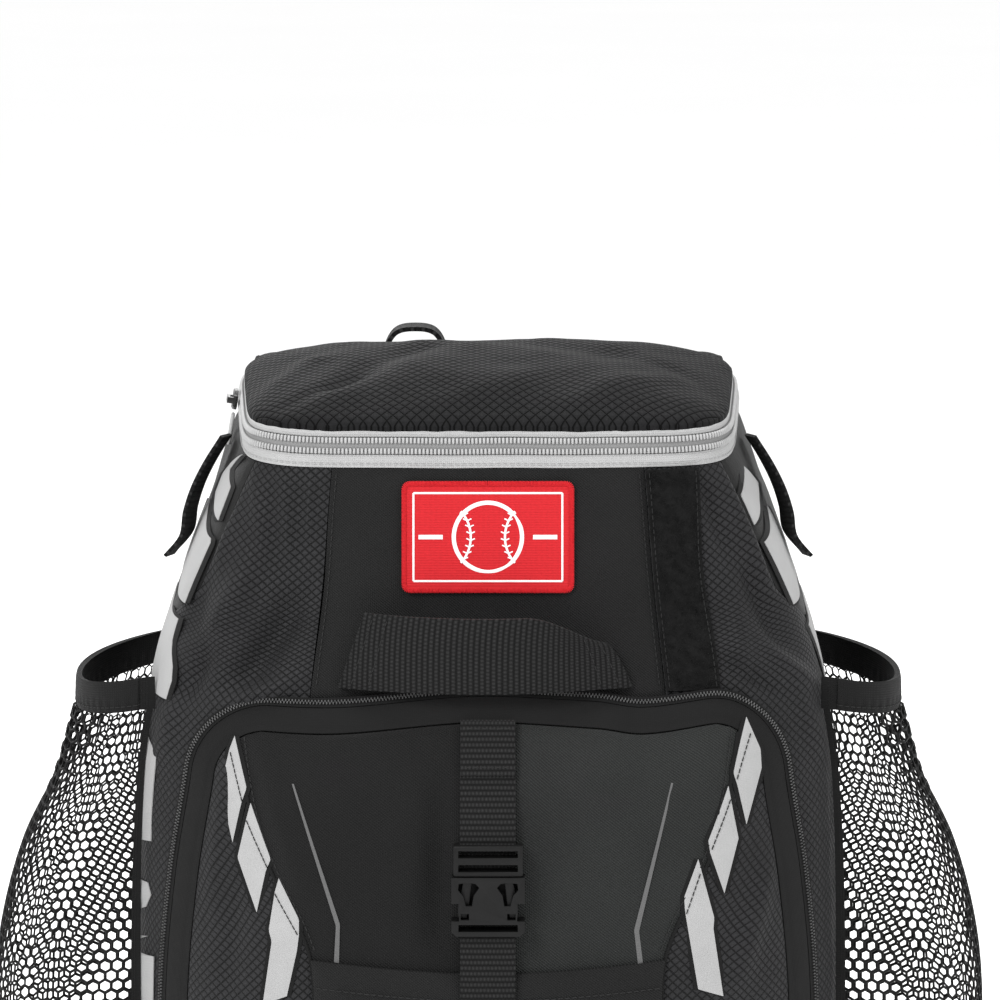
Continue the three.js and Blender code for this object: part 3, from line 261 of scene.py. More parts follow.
def section_at(level):
    half = HALF_WIDTH * table_at(SECTIONS, level, 1)
    front = FRONT_REACH * table_at(SECTIONS, level, 2)
    back = BACK_REACH * table_at(SECTIONS, level, 3)
    return half, front, back


def plan_power(level):
    return lerp(PLAN_POWER, RIM_POWER, smoothstep(level, 0.76, 1))


def taper_at(level, y):
    return 1 + RIM_TAPER * np.maximum(level, 0) ** 6 * y / BACK_REACH


def swell_at(x, z):
    total = 0
    for dent_x, dent_z, wide, out in DENTS:
        across = x / HALF_WIDTH - dent_x
        up = (z / RIM_HEIGHT - dent_z) * RIM_HEIGHT / HALF_WIDTH
        total = total + FRONT_REACH * out * np.exp(-(across ** 2 + up ** 2) / wide ** 2)
    return total


def body(angle, level):
    """A point of the body's surface. Angle 0 is the right side and -90 degrees the front."""
    half, front, back = section_at(level)
    c, s = np.cos(angle), np.sin(angle)
    power = plan_power(level)
    reach = (np.abs(c) ** power + np.abs(s) ** power) ** (1 / power)
    y = np.where(s < 0, front, back) * s / reach
    x = half * taper_at(level, y) * c / reach
    rise = RIM_RISE * np.maximum(level, 0) ** 6 * (y + front) / (front + back)
    swell = swell_at(x, RIM_HEIGHT * level) * np.clip(-s / reach, 0, 1)
    z = RIM_HEIGHT * level + rise
    return np.stack(np.broadcast_arrays(x + swell * c / reach, y + swell * s / reach, z), -1)


def angle_at_x(x, level, side):
    half, front, back = section_at(level)
    wide = half * taper_at(level, back if side > 0 else -front)
    share = np.clip(np.abs(x) / wide, 0.001, 1)
    power = plan_power(level)
    slope = (1 / share ** power - 1) ** (1 / power)
    return np.arctan2(side * slope, np.where(x < 0, -1.0, 1.0))


def angle_at_y(y, level):
    _, front, back = section_at(level)
    share = np.clip(np.abs(y) / np.where(y < 0, front, back), 0.001, 0.999)
    power = plan_power(level)
    slope = (1 / share ** power - 1) ** (1 / power)
    return np.arctan2(np.where(y < 0, -1.0, 1.0), slope)


def band(angle, h):
    """The zipper band above the rim, h over its lower edge."""
    rim = body(angle, np.ones_like(angle))
    inward = 1 - BAND_LEAN * h / section_at(1.0)[0]
    return np.stack([rim[..., 0] * inward, rim[..., 1] * inward, rim[..., 2] + h], -1)


def front(x, z):
    level = z / RIM_HEIGHT
    return body(angle_at_x(np.where(np.abs(x) < 0.001, 0.001, x), level, -1), level)


def unit(v):
    return v / np.linalg.norm(v, axis=-1, keepdims=True)


def normal_of(surface, u, v, du, dv):
    along = surface(u + du, v) - surface(u - du, v)
    up = surface(u, v + dv) - surface(u, v - dv)
    return unit(np.cross(along, up))


def offset(surface, u, v, out, du, dv):
    """A surface's points moved out along its normal."""
    u, v, out = matched(u, v, out)
    return surface(u, v) + out[..., None] * normal_of(surface, u, v, du, dv)


def on_body(angle, level, out):
    return offset(body, angle, level, out, 2e-4, 1e-3)


def on_band(angle, h, out):
    return offset(band, angle, h, out, 2e-4, 1e-3)


def on_front(x, z, out):
    return offset(front, x, z, out, 0.3, 0.3)


def outline_half(z, inset):
    """Half the width of the pocket's outline, drawn in by inset."""
    top = POCKET_TOP - inset
    radius = POCKET_CORNER - inset
    side = POCKET_WIDTH / 2 * table_at(POCKET_EDGES, z / POCKET_TOP) - inset
    lift = np.clip(1 - (top - z) / radius, 0, 1)
    return side - radius * (1 - np.sqrt(1 - lift ** 2))


def parabola(t):
    return 1 - (1 - np.clip(t, 0, 1)) ** 2


def pocket(x, z):
    side = parabola((outline_half(z, 0) - np.abs(x)) / POCKET_ROUND)
    top = parabola((POCKET_TOP - z) / POCKET_ROUND)
    bottom = parabola((z - POCKET_BOTTOM) / POCKET_ROUND)
    base = on_front(x, z, CLOTH + SEAT)
    base[..., 1] -= POCKET_DEPTH * side * top * bottom
    return base


# Waves of the pocket's top edge: x, height
TOP_WAVE = [(-130, -2), (-105, -2), (-68, -2), (-5, 3.5), (50, 0.5), (70, -2), (108, 2), (135, 0)]


def wavy_pocket(x, z):
    sway = table_at(TOP_WAVE, x) * smoothstep(z, POCKET_TOP - 55, POCKET_TOP - 10)
    return pocket(x, z) + sway[..., None] * np.array([0, 0, 1.0])


def on_pocket(x, z, out):
    return offset(wavy_pocket, x, z, out, 0.5, 0.5)


def yoke_seam(level):
    up = np.clip((level - POCKET_TOP / RIM_HEIGHT) / (1 - POCKET_TOP / RIM_HEIGHT), 0, 1)
    return lerp(YOKE_SEAM_LOW, YOKE_SEAM_TOP, up)


def gusset_seam(level):
    return -0.62 * FRONT_REACH * smoothstep(level, 0.77, 0.87)


def flap_half(z):
    return POCKET_WIDTH / 2 * table_at(FLAP_EDGES, z / POCKET_TOP)


INNER_INSET = POCKET_COIL / 2 + POCKET_TAPE + 0.3


def panel_edge(z):
    return np.minimum(flap_half(z), outline_half(z, INNER_INSET) - 0.3)


def hem_at(x):
    return HEM_HEIGHT - HEM_SAG * np.cos(math.pi / 2 * np.clip(x / flap_half(HEM_HEIGHT), -1, 1))


def back_wall(x, z):
    level = np.clip(z / RIM_HEIGHT, 0, 1)
    return body(angle_at_x(x, level, 1), level)[..., 1]


# Camera, and the places that it sees

def project(points):
    """Photo coordinates of points, in pixels from the top left."""
    forward = unit(np.subtract(TARGET, CAMERA).astype(float))
    right = unit(np.cross(forward, (0, 0, 1)))
    up = np.cross(right, forward)
    rel = points - np.array(CAMERA)
    scale = LENS / SENSOR * IMAGE / (rel @ forward)
    return np.stack([IMAGE / 2 + rel @ right * scale, IMAGE / 2 - rel @ up * scale], -1)


def seen(pixels, surface, us, vs):
    """The surface's two parameters at each pixel, from a fine grid of them."""
    u, v = np.meshgrid(us, vs)
    shown = project(surface(u, v)).reshape(-1, 2)
    found = []
    for pixel in pixels:
        nearest = np.argmin(((shown - np.array(pixel, float)) ** 2).sum(-1))
        found.append((u.ravel()[nearest], v.ravel()[nearest]))
    return np.array(found)


def creases(points, rows):
    """Height of folds over points. A row: start, end in pixels, width in pixels, height in millimetres."""
    shown = project(points)
    total = np.zeros(shown.shape[:-1])
    for x0, y0, x1, y1, wide, high in rows:
        start = np.array([x0, y0], float)
        run = np.array([x1, y1]) - start
        t = np.clip((shown - start) @ run / (run @ run), 0, 1)
        away = np.linalg.norm(shown - start - t[..., None] * run, axis=-1)
        total += high * np.exp(-(away / wide) ** 2) * np.sqrt(np.sin(math.pi * np.clip(t, 0.03, 0.97)))
    return total


def ripple(points, size, seed, waves=9):
    """Smooth seeded unevenness between about -1 and 1, with features of a size in millimetres."""
    random = np.random.default_rng(seed)
    total = np.zeros(points.shape[:-1])
    warp = np.sin(points[..., [1, 2, 0]] / (size * 1.7) + seed) * size * 0.4
    for _ in range(waves):
        direction = random.normal(size=3)
        direction *= 2 * math.pi / (size * random.uniform(1, 2.4)) / np.linalg.norm(direction)
        total += np.sin((points + warp) @ direction + random.uniform(0, 6.28))
    return total / math.sqrt(waves) / 1.4


def rippled(high, size, seed):
    """A relief that is unevenness alone."""
    return lambda points, u, v: high * ripple(points, size, seed)


# Meshes

def add_piece(name, points, quads, material, uv=None, replaces=(), sharp=40):
    """A mesh piece that rides on the body. Points are in millimetres."""
    mesh = bpy.data.meshes.new(name)
    quads = np.asarray(quads, np.int32)
    mesh.vertices.add(len(points))
    mesh.vertices.foreach_set("co", (np.asarray(points, float) * MM).ravel())
    mesh.loops.add(quads.size)
    mesh.loops.foreach_set("vertex_index", quads.ravel())
    mesh.polygons.add(len(quads))
    mesh.polygons.foreach_set("loop_start", np.arange(0, quads.size, quads.shape[1], dtype=np.int32))
    mesh.update(calc_edges=True)
    if uv is not None:
        layer = mesh.uv_layers.new(name="UVMap")
        layer.data.foreach_set("uv", (np.asarray(uv)[quads.ravel()] * MM).ravel())
    mesh.validate()
    mesh.shade_smooth()
    mesh.set_sharp_from_angle(angle=math.radians(sharp))
    mesh.materials.append(material)
    piece = bpy.data.objects.new(name, mesh)
    bpy.context.scene.collection.objects.link(piece)
    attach(piece, "root")
    if replaces:
        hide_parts(*replaces)
    return piece


def grid_quads(rows, columns, start=0, flip=False):
    j, i = np.meshgrid(np.arange(rows - 1), np.arange(columns - 1), indexing="ij")
    a = start + j * columns + i
    quads = np.stack([a, a + 1, a + columns + 1, a + columns], -1).reshape(-1, 4)
    return quads[:, ::-1] if flip else quads


def sheet_mesh(outer, inner):
    """Points and quads of a closed sheet between two grids of points."""
    rows, columns = outer.shape[:2]
    count = rows * columns
    points = np.concatenate([outer.reshape(-1, 3), inner.reshape(-1, 3)])
    ids = np.arange(count).reshape(rows, columns)
    border = np.concatenate([ids[0, :-1], ids[:-1, -1], ids[-1, :0:-1], ids[:0:-1, 0]])
    following = np.roll(border, -1)
    rim = np.stack([following, border, border + count, following + count], -1)
    quads = np.concatenate([grid_quads(rows, columns), grid_quads(rows, columns, count, True), rim])
    cross = np.cross(outer[:-1, 1:] - outer[:-1, :-1], outer[1:, :-1] - outer[:-1, :-1])
    outward = (outer - inner)[:-1, :-1]
    if (cross * outward).sum() < 0:
        quads = quads[:, ::-1]
    return points, quads


def arc_lengths(grid):
    """Distances along the rows from their first point, and up the columns."""
    across = np.zeros(grid.shape[:2])
    across[:, 1:] = np.cumsum(np.linalg.norm(np.diff(grid, axis=1), axis=-1), axis=1)
    up = np.zeros(grid.shape[:2])
    up[1:] = np.cumsum(np.linalg.norm(np.diff(grid, axis=0), axis=-1), axis=0)
    return across, up


def edge_distance(across, up):
    sides = np.minimum(across, across[:, -1:] - across)
    return np.minimum(sides, np.minimum(up, up[-1:] - up))


def add_cloth(name, place, us, vs, material, relief=None, lift=0.0, thick=CLOTH, dip=EDGE_DIP,
              pucker=0.25, replaces=(), centred=True):
    """A closed sheet of cloth over place(u, v, out), sunk at its edges and puckered along them."""
    u, v = np.meshgrid(us, vs)
    flat = place(u, v, np.full(u.shape, float(lift)))
    across, up = arc_lengths(flat)
    near = edge_distance(across, up)
    out = lift - dip * np.exp(-near / 2.2)
    out += pucker * ripple(flat, 5.5, len(name)) * np.exp(-near / 5) * (1 - np.exp(-near / 1.5))
    if relief is not None:
        out += relief(flat, u, v) * (1 - np.exp(-near / 4))
    outer = place(u, v, out)
    inner = place(u, v, out - thick)
    if centred:
        across = across - across[:, -1:] / 2
    level_up = np.broadcast_to(up.mean(axis=1, keepdims=True), up.shape)
    uv = np.stack([across, level_up], -1).reshape(-1, 2)
    points, quads = sheet_mesh(outer, inner)
    return add_piece(name, points, quads, material, np.concatenate([uv, uv]), replaces)


def add_copies(name, template, template_quads, seats, axes, material, replaces=(), uv=False):
    """One mesh of many copies. Axes hold each copy's three directions, with their lengths."""
    points = seats[:, None, :] + np.einsum("vk,nkc->nvc", template, axes)
    count = len(template)
    quads = (template_quads[None] + (np.arange(len(seats)) * count)[:, None, None]).reshape(-1, 4)
    flat = np.tile(template[:, :2], (len(seats), 1)) if uv else None
    return add_piece(name, points.reshape(-1, 3), quads, material, flat, replaces, sharp=80)


def spindle(sides=4, rings=((-0.5, 0.45), (-0.3, 0.9), (0.3, 0.9), (0.5, 0.45))):
    """A bead along its first axis. Rings hold a place on it and a radius."""
    angles = (np.arange(sides) + 0.5) / sides * 2 * math.pi
    points = np.array([(at, r * math.cos(a) / 2, r * math.sin(a) / 2) for at, r in rings for a in angles])
    quads = []
    for k in range(len(rings) - 1):
        for i in range(sides):
            n = (i + 1) % sides
            quads.append((k * sides + i, (k + 1) * sides + i, (k + 1) * sides + n, k * sides + n))
    last = (len(rings) - 1) * sides
    for i in range(1, sides - 2, 2):
        quads.append((0, i, i + 1, i + 2))
        quads.append((last, last + i + 2, last + i + 1, last + i))
    return points, np.array(quads)


def even_steps(place, low, high, pitch, samples=1500):
    """Parameters along a curve whose points lie a pitch apart."""
    t = np.linspace(low, high, samples)
    run = run_along(place(t))
    count = max(int(run[-1] / pitch), 2)
    return np.interp((np.arange(count) + 0.5) / count * run[-1], run, t)


def add_stitches(name, routes, material, length=2.3, pitch=3.1, wide=0.65, proud=0.12):
    """Stitches along routes. Each route gives points at t from 0 to 1, for a distance out."""
    seats, axes = [], []
    for route in routes:
        t = even_steps(lambda s: route(s, 0.0), 0, 1, pitch)
        here = route(t, 0.0)
        ahead = unit(route(t + 1e-3, 0.0) - route(t - 1e-3, 0.0))
        outward = unit(route(t, 1.0) - here)
        side = unit(np.cross(outward, ahead))
        seats.append(here + outward * proud)
        axes.append(np.stack([ahead * length, side * wide, outward * wide * 0.8], 1))
    template, quads = spindle()
    return add_copies(name, template, quads, np.concatenate(seats), np.concatenate(axes), material)


def add_tube(name, line, radius, material, closed=False, sides=8, replaces=()):
    """A round cord or piping along a dense line of points."""
    line = np.asarray(line, float)
    if closed:
        ahead = unit(np.roll(line, -1, axis=0) - np.roll(line, 1, axis=0))
    else:
        ahead = unit(np.gradient(line, axis=0))
    plane = np.linalg.svd(line - line.mean(axis=0))[2][2]
    side = unit(np.cross(ahead, plane))
    up = np.cross(side, ahead)
    turn = np.arange(sides) / sides * 2 * math.pi
    ring = np.cos(turn)[None, :, None] * side[:, None] + np.sin(turn)[None, :, None] * up[:, None]
    points = (line[:, None] + radius * ring).reshape(-1, 3)
    rows = len(line)
    j, i = np.meshgrid(np.arange(rows if closed else rows - 1), np.arange(sides), indexing="ij")
    here, there = j * sides, (j + 1) % rows * sides
    beside = (i + 1) % sides
    quads = np.stack([here + i, there + i, there + beside, here + beside], -1).reshape(-1, 4).tolist()
    if not closed:
        last = (rows - 1) * sides
        for k in range(1, sides - 2, 2):
            quads.append([0, k, k + 1, k + 2])
            quads.append([last, last + k + 2, last + k + 1, last + k])
    return add_piece(name, points, quads, material, replaces=replaces, sharp=80)


def along_line(points, t):
    """Points at shares of a broken line's length."""
    length = run_along(points)
    return np.stack([np.interp(t, length / length[-1], points[:, k]) for k in range(points.shape[1])], -1)


def heading(line, t, step):
    """The direction of a broken line at shares of its length."""
    return unit(along_line(line, np.clip(t + step, 0, 1)) - along_line(line, np.clip(t - step, 0, 1)))


def smooth_line(points, count=200):
    rows = [(k / (len(points) - 1), *point) for k, point in enumerate(points)]
    t = shares(count)
    return np.stack([table_at(rows, t, column) for column in (1, 2, 3)], -1)


def ribbon(line, across, flip=False):
    """A place on a strip along a line: its share of the line, the distance across and out."""
    across = np.array(across, float)

    def place(t, s, out):
        here = along_line(line, t)
        ahead = heading(line, t, 0.01)
        side = unit(across - (ahead @ across)[..., None] * ahead)
        points = here + s[..., None] * side + out[..., None] * np.cross(side, ahead)
        return mirror(points) if flip else points
    return place


# Materials

class Recipe:
    """A Principled material with short calls for the nodes behind it."""

    def __init__(self, name, roughness=0.8, sheen=0.0, metallic=0.0, specular=0.5, coat=0.0):
        self.material = bpy.data.materials.new(name)
        self.material.use_nodes = True
        self.tree = self.material.node_tree
        self.shader = self.tree.nodes["Principled BSDF"]
        self.shader.inputs["Roughness"].default_value = roughness
        self.shader.inputs["Metallic"].default_value = metallic
        self.shader.inputs["Specular IOR Level"].default_value = specular
        self.shader.inputs["Sheen Weight"].default_value = sheen
        self.shader.inputs["Sheen Roughness"].default_value = 0.45
        self.shader.inputs["Coat Weight"].default_value = coat

    def node(self, kind, **settings):
        made = self.tree.nodes.new(kind)
        for key, value in settings.items():
            setattr(made, key, value)
        return made

    def feed(self, socket, value):
        if isinstance(value, bpy.types.NodeSocket):
            self.tree.links.new(value, socket)
        else:
            socket.default_value = value

    def math(self, operation, *values):
        made = self.node("ShaderNodeMath", operation=operation)
        for socket, value in zip(made.inputs, values):
            self.feed(socket, value)
        return made.outputs[0]

    def uv(self):
        split = self.node("ShaderNodeSeparateXYZ")
        self.tree.links.new(self.node("ShaderNodeUVMap", uv_map="UVMap").outputs[0], split.inputs[0])
        return split.outputs[0], split.outputs[1]

    def noise(self, size, detail=3.0, roughness=0.6):
        """Noise with features of a size in millimetres, from the object's own coordinates."""
        made = self.node("ShaderNodeTexNoise")
        made.inputs["Scale"].default_value = 1 / (size * MM)
        made.inputs["Detail"].default_value = detail
        made.inputs["Roughness"].default_value = roughness
        self.tree.links.new(self.node("ShaderNodeTexCoord").outputs["Object"], made.inputs["Vector"])
        return made.outputs[0]

    def ramp(self, value, low, high, start=0.0, end=1.0):
        made = self.node("ShaderNodeMapRange", interpolation_type="SMOOTHSTEP")
        for socket, given in zip(made.inputs[:5], (value, low, high, start, end)):
            self.feed(socket, given)
        return made.outputs[0]

    def wave(self, coordinate, pitch, shift=0.0):
        """0 to 1 and back over each pitch in millimetres."""
        turns = self.math("MULTIPLY_ADD", coordinate, 1 / (pitch * MM), shift)
        return self.math("MULTIPLY", self.math("PINGPONG", turns, 0.5), 2.0)

    def blend(self, factor, dark, light):
        made = self.node("ShaderNodeMix", data_type="RGBA")
        self.feed(made.inputs[0], factor)
        for socket, colour in ((made.inputs[6], dark), (made.inputs[7], light)):
            self.feed(socket, colour if isinstance(colour, bpy.types.NodeSocket) else (*colour, 1))
        return made.outputs[2]

    def finish(self, colour, height=None, deep=0.2, roughness=None):
        """Colour, bump of a depth in millimetres, and roughness. Returns the material."""
        self.feed(self.shader.inputs["Base Color"], colour)
        if roughness is not None:
            self.feed(self.shader.inputs["Roughness"], roughness)
        if height is not None:
            bump = self.node("ShaderNodeBump")
            bump.inputs["Distance"].default_value = deep * MM
            self.feed(bump.inputs["Height"], height)
            self.tree.links.new(bump.outputs[0], self.shader.inputs["Normal"])
        return self.material


def grey(value, tint=(1, 1, 1)):
    return tuple(value * t for t in tint)


def ripstop(name, dark, light, cell=(4.6, 4.1), line=0.12, deep=0.35, specular=0.18):
    """Coated cloth with a diamond grid of dark lines between soft cells."""
    r = Recipe(name, sheen=0.02, specular=specular)
    u, v = r.uv()
    x = r.math("MULTIPLY", u, 1 / (cell[0] * MM))
    y = r.math("MULTIPLY", v, 1 / (cell[1] * MM))
    one = r.math("PINGPONG", r.math("ADD", x, y), 0.5)
    other = r.math("PINGPONG", r.math("SUBTRACT", x, y), 0.5)
    near = r.math("MULTIPLY", r.math("MINIMUM", one, other), 2.0)
    cell_top = r.ramp(near, 0.0, line * 2)
    cushion = r.ramp(near, 0.0, 1.0)
    yarn = r.math("MULTIPLY", r.wave(u, 0.9), r.wave(v, 0.9))
    height = r.math("MULTIPLY_ADD", cushion, 0.5, r.math("MULTIPLY_ADD", yarn, 0.12, cell_top))
    speck = r.noise(1.2, 2.0)
    tone = r.math("MULTIPLY_ADD", speck, 0.5, r.math("MULTIPLY", r.noise(40), 0.45))
    colour = r.blend(r.math("MULTIPLY", cell_top, tone), dark, light)
    rough = r.math("SUBTRACT", 0.74, r.math("MULTIPLY", cushion, 0.2))
    return r.finish(colour, height, deep, rough)


def twill(name, dark, light, pitch=1.25, deep=0.2, lean=0.8, left=None):
    """Cloth with fine diagonal ribs. Left, if given, is a darker light tone for the left half: painted
    shade, as that half lies away from the light.
    """
    r = Recipe(name, sheen=0.02, specular=0.15)
    u, v = r.uv()
    if left is not None:
        # Painted shade: the left half of the cloth takes the darker left tone.
        light = r.blend(r.ramp(u, -0.006, 0.006), left, light)
    slope = r.math("MULTIPLY_ADD", u, lean, v)
    rib = r.wave(slope, pitch)
    thread = r.wave(u, pitch * 0.7)
    height = r.math("MULTIPLY_ADD", rib, 0.75, r.math("MULTIPLY", thread, 0.3))
    speck = r.noise(1.1, 2.0)
    patch = r.noise(60)
    tone = r.math("MULTIPLY_ADD", rib, 0.6, r.math("MULTIPLY", speck, 0.4))
    colour = r.blend(r.math("MULTIPLY_ADD", patch, 0.35, r.math("MULTIPLY", tone, 0.8)), dark, light)
    return r.finish(colour, height, deep, r.math("MULTIPLY_ADD", speck, 0.15, 0.72))


def plain_cloth(name, dark, light, pitch=0.7, roughness=0.55, sheen=0.02, deep=0.12):
    """Plain woven cloth or tape."""
    r = Recipe(name, sheen=sheen, specular=0.15)
    u, v = r.uv()
    height = r.math("MULTIPLY", r.wave(u, pitch), r.wave(v, pitch))
    patch = r.noise(24)
    colour = r.blend(r.math("MULTIPLY_ADD", patch, 0.8, r.math("MULTIPLY", height, 0.3)), dark, light)
    return r.finish(colour, height, deep, r.math("MULTIPLY_ADD", patch, 0.2, roughness - 0.1))


def webbing(name, dark, light, rib=RIB, dot=1.7, deep=0.45):
    """Webbing whose ribs run across it, broken into dots. U runs along it."""
    r = Recipe(name, sheen=0.03, specular=0.15)
    u, v = r.uv()
    bar = r.wave(u, rib)
    turns = r.math("FLOOR", r.math("MULTIPLY", u, 1 / (rib * MM)))
    dots = r.wave(v, dot, r.math("MULTIPLY", turns, 0.5))
    height = r.math("MULTIPLY", r.ramp(bar, 0.05, 0.8), r.math("MULTIPLY_ADD", dots, 0.8, 0.2))
    speck = r.noise(1.5, 2.0)
    tone = r.math("MULTIPLY", height, r.math("MULTIPLY_ADD", speck, 0.8, 0.5))
    return r.finish(r.blend(tone, dark, light), height, deep, r.math("MULTIPLY_ADD", speck, 0.15, 0.68))


def air_mesh(name, dark, light, hole=3.4):
    """Padded spacer mesh with rows of small round holes."""
    r = Recipe(name, sheen=0.05, specular=0.1)
    u, v = r.uv()
    a = r.wave(u, hole)
    b = r.wave(v, hole)
    other_a = r.wave(u, hole, 0.5)
    other_b = r.wave(v, hole, 0.5)
    pits = r.math("MAXIMUM", r.math("MULTIPLY", a, b), r.math("MULTIPLY", other_a, other_b))
    height = r.ramp(pits, 0.45, 0.8, 1.0, 0.0)
    fuzz = r.noise(0.8, 2.0)
    colour = r.blend(r.math("MULTIPLY", height, r.math("MULTIPLY_ADD", fuzz, 0.7, 0.4)), dark, light)
    return r.finish(colour, height, 0.6, r.math("MULTIPLY_ADD", fuzz, 0.1, 0.85))


def moulded(name, dark, light, roughness, metallic=0.0, grain=0.5, deep=0.04, coat=0.0, specular=0.3):
    """Moulded or cast material with a fine grain and handling wear."""
    r = Recipe(name, metallic=metallic, specular=specular, coat=coat)
    fine = r.noise(grain, 3.0)
    patch = r.noise(7)
    colour = r.blend(patch, dark, light)
    return r.finish(colour, fine, deep, r.math("MULTIPLY_ADD", patch, 0.22, roughness - 0.1))


def thread(name, dark, light, pitch=0.5, roughness=0.55):
    """Twisted yarn."""
    r = Recipe(name, sheen=0.04, specular=0.15)
    fine = r.noise(pitch, 2.0)
    return r.finish(r.blend(fine, dark, light), fine, 0.12, r.math("MULTIPLY_ADD", fine, 0.2, roughness))


M = {
    "ripstop": ripstop("ripstop", grey(0.0012), grey(0.029, (0.98, 0.98, 1.05)), line=0.16),
    "lid_ripstop": ripstop("lid_ripstop", grey(0.0015), grey(0.019, (0.99, 0.99, 1.04)), (5.4, 5.4),
                           deep=0.5, specular=0.04),
    "twill": twill("twill", grey(0.0008), grey(0.0175), pitch=1.25, deep=0.5),
    # The flap's left half is painted darker than its right: painted shade.
    "flap_twill": twill("flap_twill", grey(0.001), grey(0.031, (0.96, 1.02, 0.99)), pitch=1.4, deep=0.5,
                        left=grey(0.012)),
    "nylon": plain_cloth("nylon", grey(0.002), grey(0.008), roughness=0.55),
    "air_mesh": air_mesh("air_mesh", grey(0.002), grey(0.016)),
    "grey_tape": plain_cloth("grey_tape", grey(0.32), grey(0.43), pitch=0.9, roughness=0.75, deep=0.25),
    "grey_patch": plain_cloth("grey_patch", grey(0.27), grey(0.37), pitch=0.8, roughness=0.65),
    "zip_bed": plain_cloth("zip_bed", grey(0.17), grey(0.25), pitch=0.9, roughness=0.8),
    "black_tape": plain_cloth("black_tape", grey(0.002), grey(0.01), pitch=0.9, roughness=0.8),
    "webbing": webbing("webbing", grey(0.0008), grey(0.023)),
    "binding": plain_cloth("binding", grey(0.0015), grey(0.009), pitch=1.1, roughness=0.75, deep=0.25),
    "net": thread("net", grey(0.0015), grey(0.008)),
    "grey_tooth": moulded("grey_tooth", grey(0.3), grey(0.42), 0.5),
    # The pocket's black coil teeth: their own dark colour raised to a lighter grey, which paints their
    # highlights into the colour.
    "black_tooth_with_painted_highlight": moulded("black_tooth_with_painted_highlight", grey(0.03), grey(0.1), 0.32),
    "plastic": moulded("plastic", grey(0.003), grey(0.007), 0.45, specular=0.17),
    "metal": moulded("metal", grey(0.004), grey(0.012), 0.3, metallic=0.3, coat=0.2),
    "cord": thread("cord", grey(0.3), grey(0.48), pitch=0.7),
    "base": moulded("base", grey(0.002), grey(0.01), 0.8, grain=0.9, deep=0.15),
    "black_thread": thread("black_thread", grey(0.006), grey(0.026)),
    "grey_thread": thread("grey_thread", grey(0.24), grey(0.38)),
    "white_thread": thread("white_thread", grey(0.55), grey(0.78)),
    "badge_edge": thread("badge_edge", (0.32, 0.006, 0.01), (0.6, 0.015, 0.022)),
    "grey_line": thread("grey_line", grey(0.07), grey(0.12)),
}


def loop_tape():
    r = Recipe("loop_tape", sheen=0.06, specular=0.05)
    fuzz = r.noise(1.3, 4.0, 0.75)
    clump = r.noise(5, 3.0)
    colour = r.blend(r.math("MULTIPLY", fuzz, clump), grey(0.002), grey(0.022))
    return r.finish(colour, r.math("MULTIPLY_ADD", clump, 0.5, fuzz), 0.9)


def badge_cloth():
    """Red satin stitch in short upright rows."""
    r = Recipe("badge_cloth", sheen=0.04, specular=0.15)
    u, v = r.uv()
    rows = r.wave(v, 0.75)
    rows_across = r.wave(r.math("MULTIPLY_ADD", rows, 0.0004, u), 2.4)
    fuzz = r.noise(0.9, 2.0)
    tone = r.math("MULTIPLY_ADD", rows, 0.5, r.math("MULTIPLY", fuzz, 0.5))
    colour = r.blend(tone, (0.36, 0.007, 0.01), (0.62, 0.019, 0.027))
    height = r.math("MULTIPLY_ADD", rows_across, 0.4, rows)
    return r.finish(colour, height, 0.22, r.math("MULTIPLY_ADD", fuzz, 0.2, 0.5))


M["loop_tape"] = loop_tape()
M["badge"] = badge_cloth()


# Body panels

RIM_LEVEL = 1 - HALF_GAP / RIM_HEIGHT
YOKE_LEVEL = POCKET_TOP / RIM_HEIGHT


def yoke_angle(sign, shift, level):
    return angle_at_x(sign * (yoke_seam(level) + shift), level, -1)


def back_angle(sign, shift, level):
    return angle_at_x(sign * (BACK_SEAM + shift), level, 1)


def gusset_angle(shift, level):
    return angle_at_y(gusset_seam(level) + shift, level)


def mirror(points):
    return points * np.array([-1, 1, 1])


def body_place(start, end, flip=False):
    """A place on the body between two seams, each a function of the level."""
    def place(u, level, out):
        points = on_body(lerp(start(level), end(level), u), level, out)
        return mirror(points) if flip else points
    return place


# Folds of the side panels, by photo pixels: start, end, width, height
LEFT_FOLDS = [
    (252, 470, 262, 560, 5, 0.5),
    (268, 470, 276, 575, 5, -0.5),
    (283, 470, 288, 560, 4, 0.5),
    (298, 470, 299, 580, 5, -0.45),
    (311, 470, 308, 550, 4, 0.4),
    (236, 480, 214, 560, 9, 1.6),
    (250, 560, 215, 640, 14, 2.2),
    (300, 600, 235, 690, 16, -3.0),
    (210, 640, 180, 700, 12, -2.2),
    (300, 680, 215, 706, 9, 2.2),
    (205, 560, 190, 640, 10, -1.4),
    (175, 700, 160, 760, 9, 1.6),
]
RIGHT_FOLDS = [
    (700, 470, 730, 560, 8, -1.2),
    (726, 470, 770, 590, 8, 1.8),
    (745, 560, 790, 660, 12, -2.4),
    (735, 600, 745, 680, 10, 1.6),
    (765, 640, 815, 690, 9, 1.8),
    (800, 690, 822, 760, 9, 1.4),
    (722, 660, 780, 690, 8, -1.6),
]


FOLD_DEPTH = 2.6  # multiplies the heights in the tables of folds
LID_FOLD_DEPTH = 1.5


def panel_relief(folds, seed, soft=0.5):
    def relief(points, u, v):
        uneven = soft * ripple(points, 34, seed) + 0.22 * ripple(points, 13, seed + 1)
        return FOLD_DEPTH * creases(points, folds) + uneven
    return relief


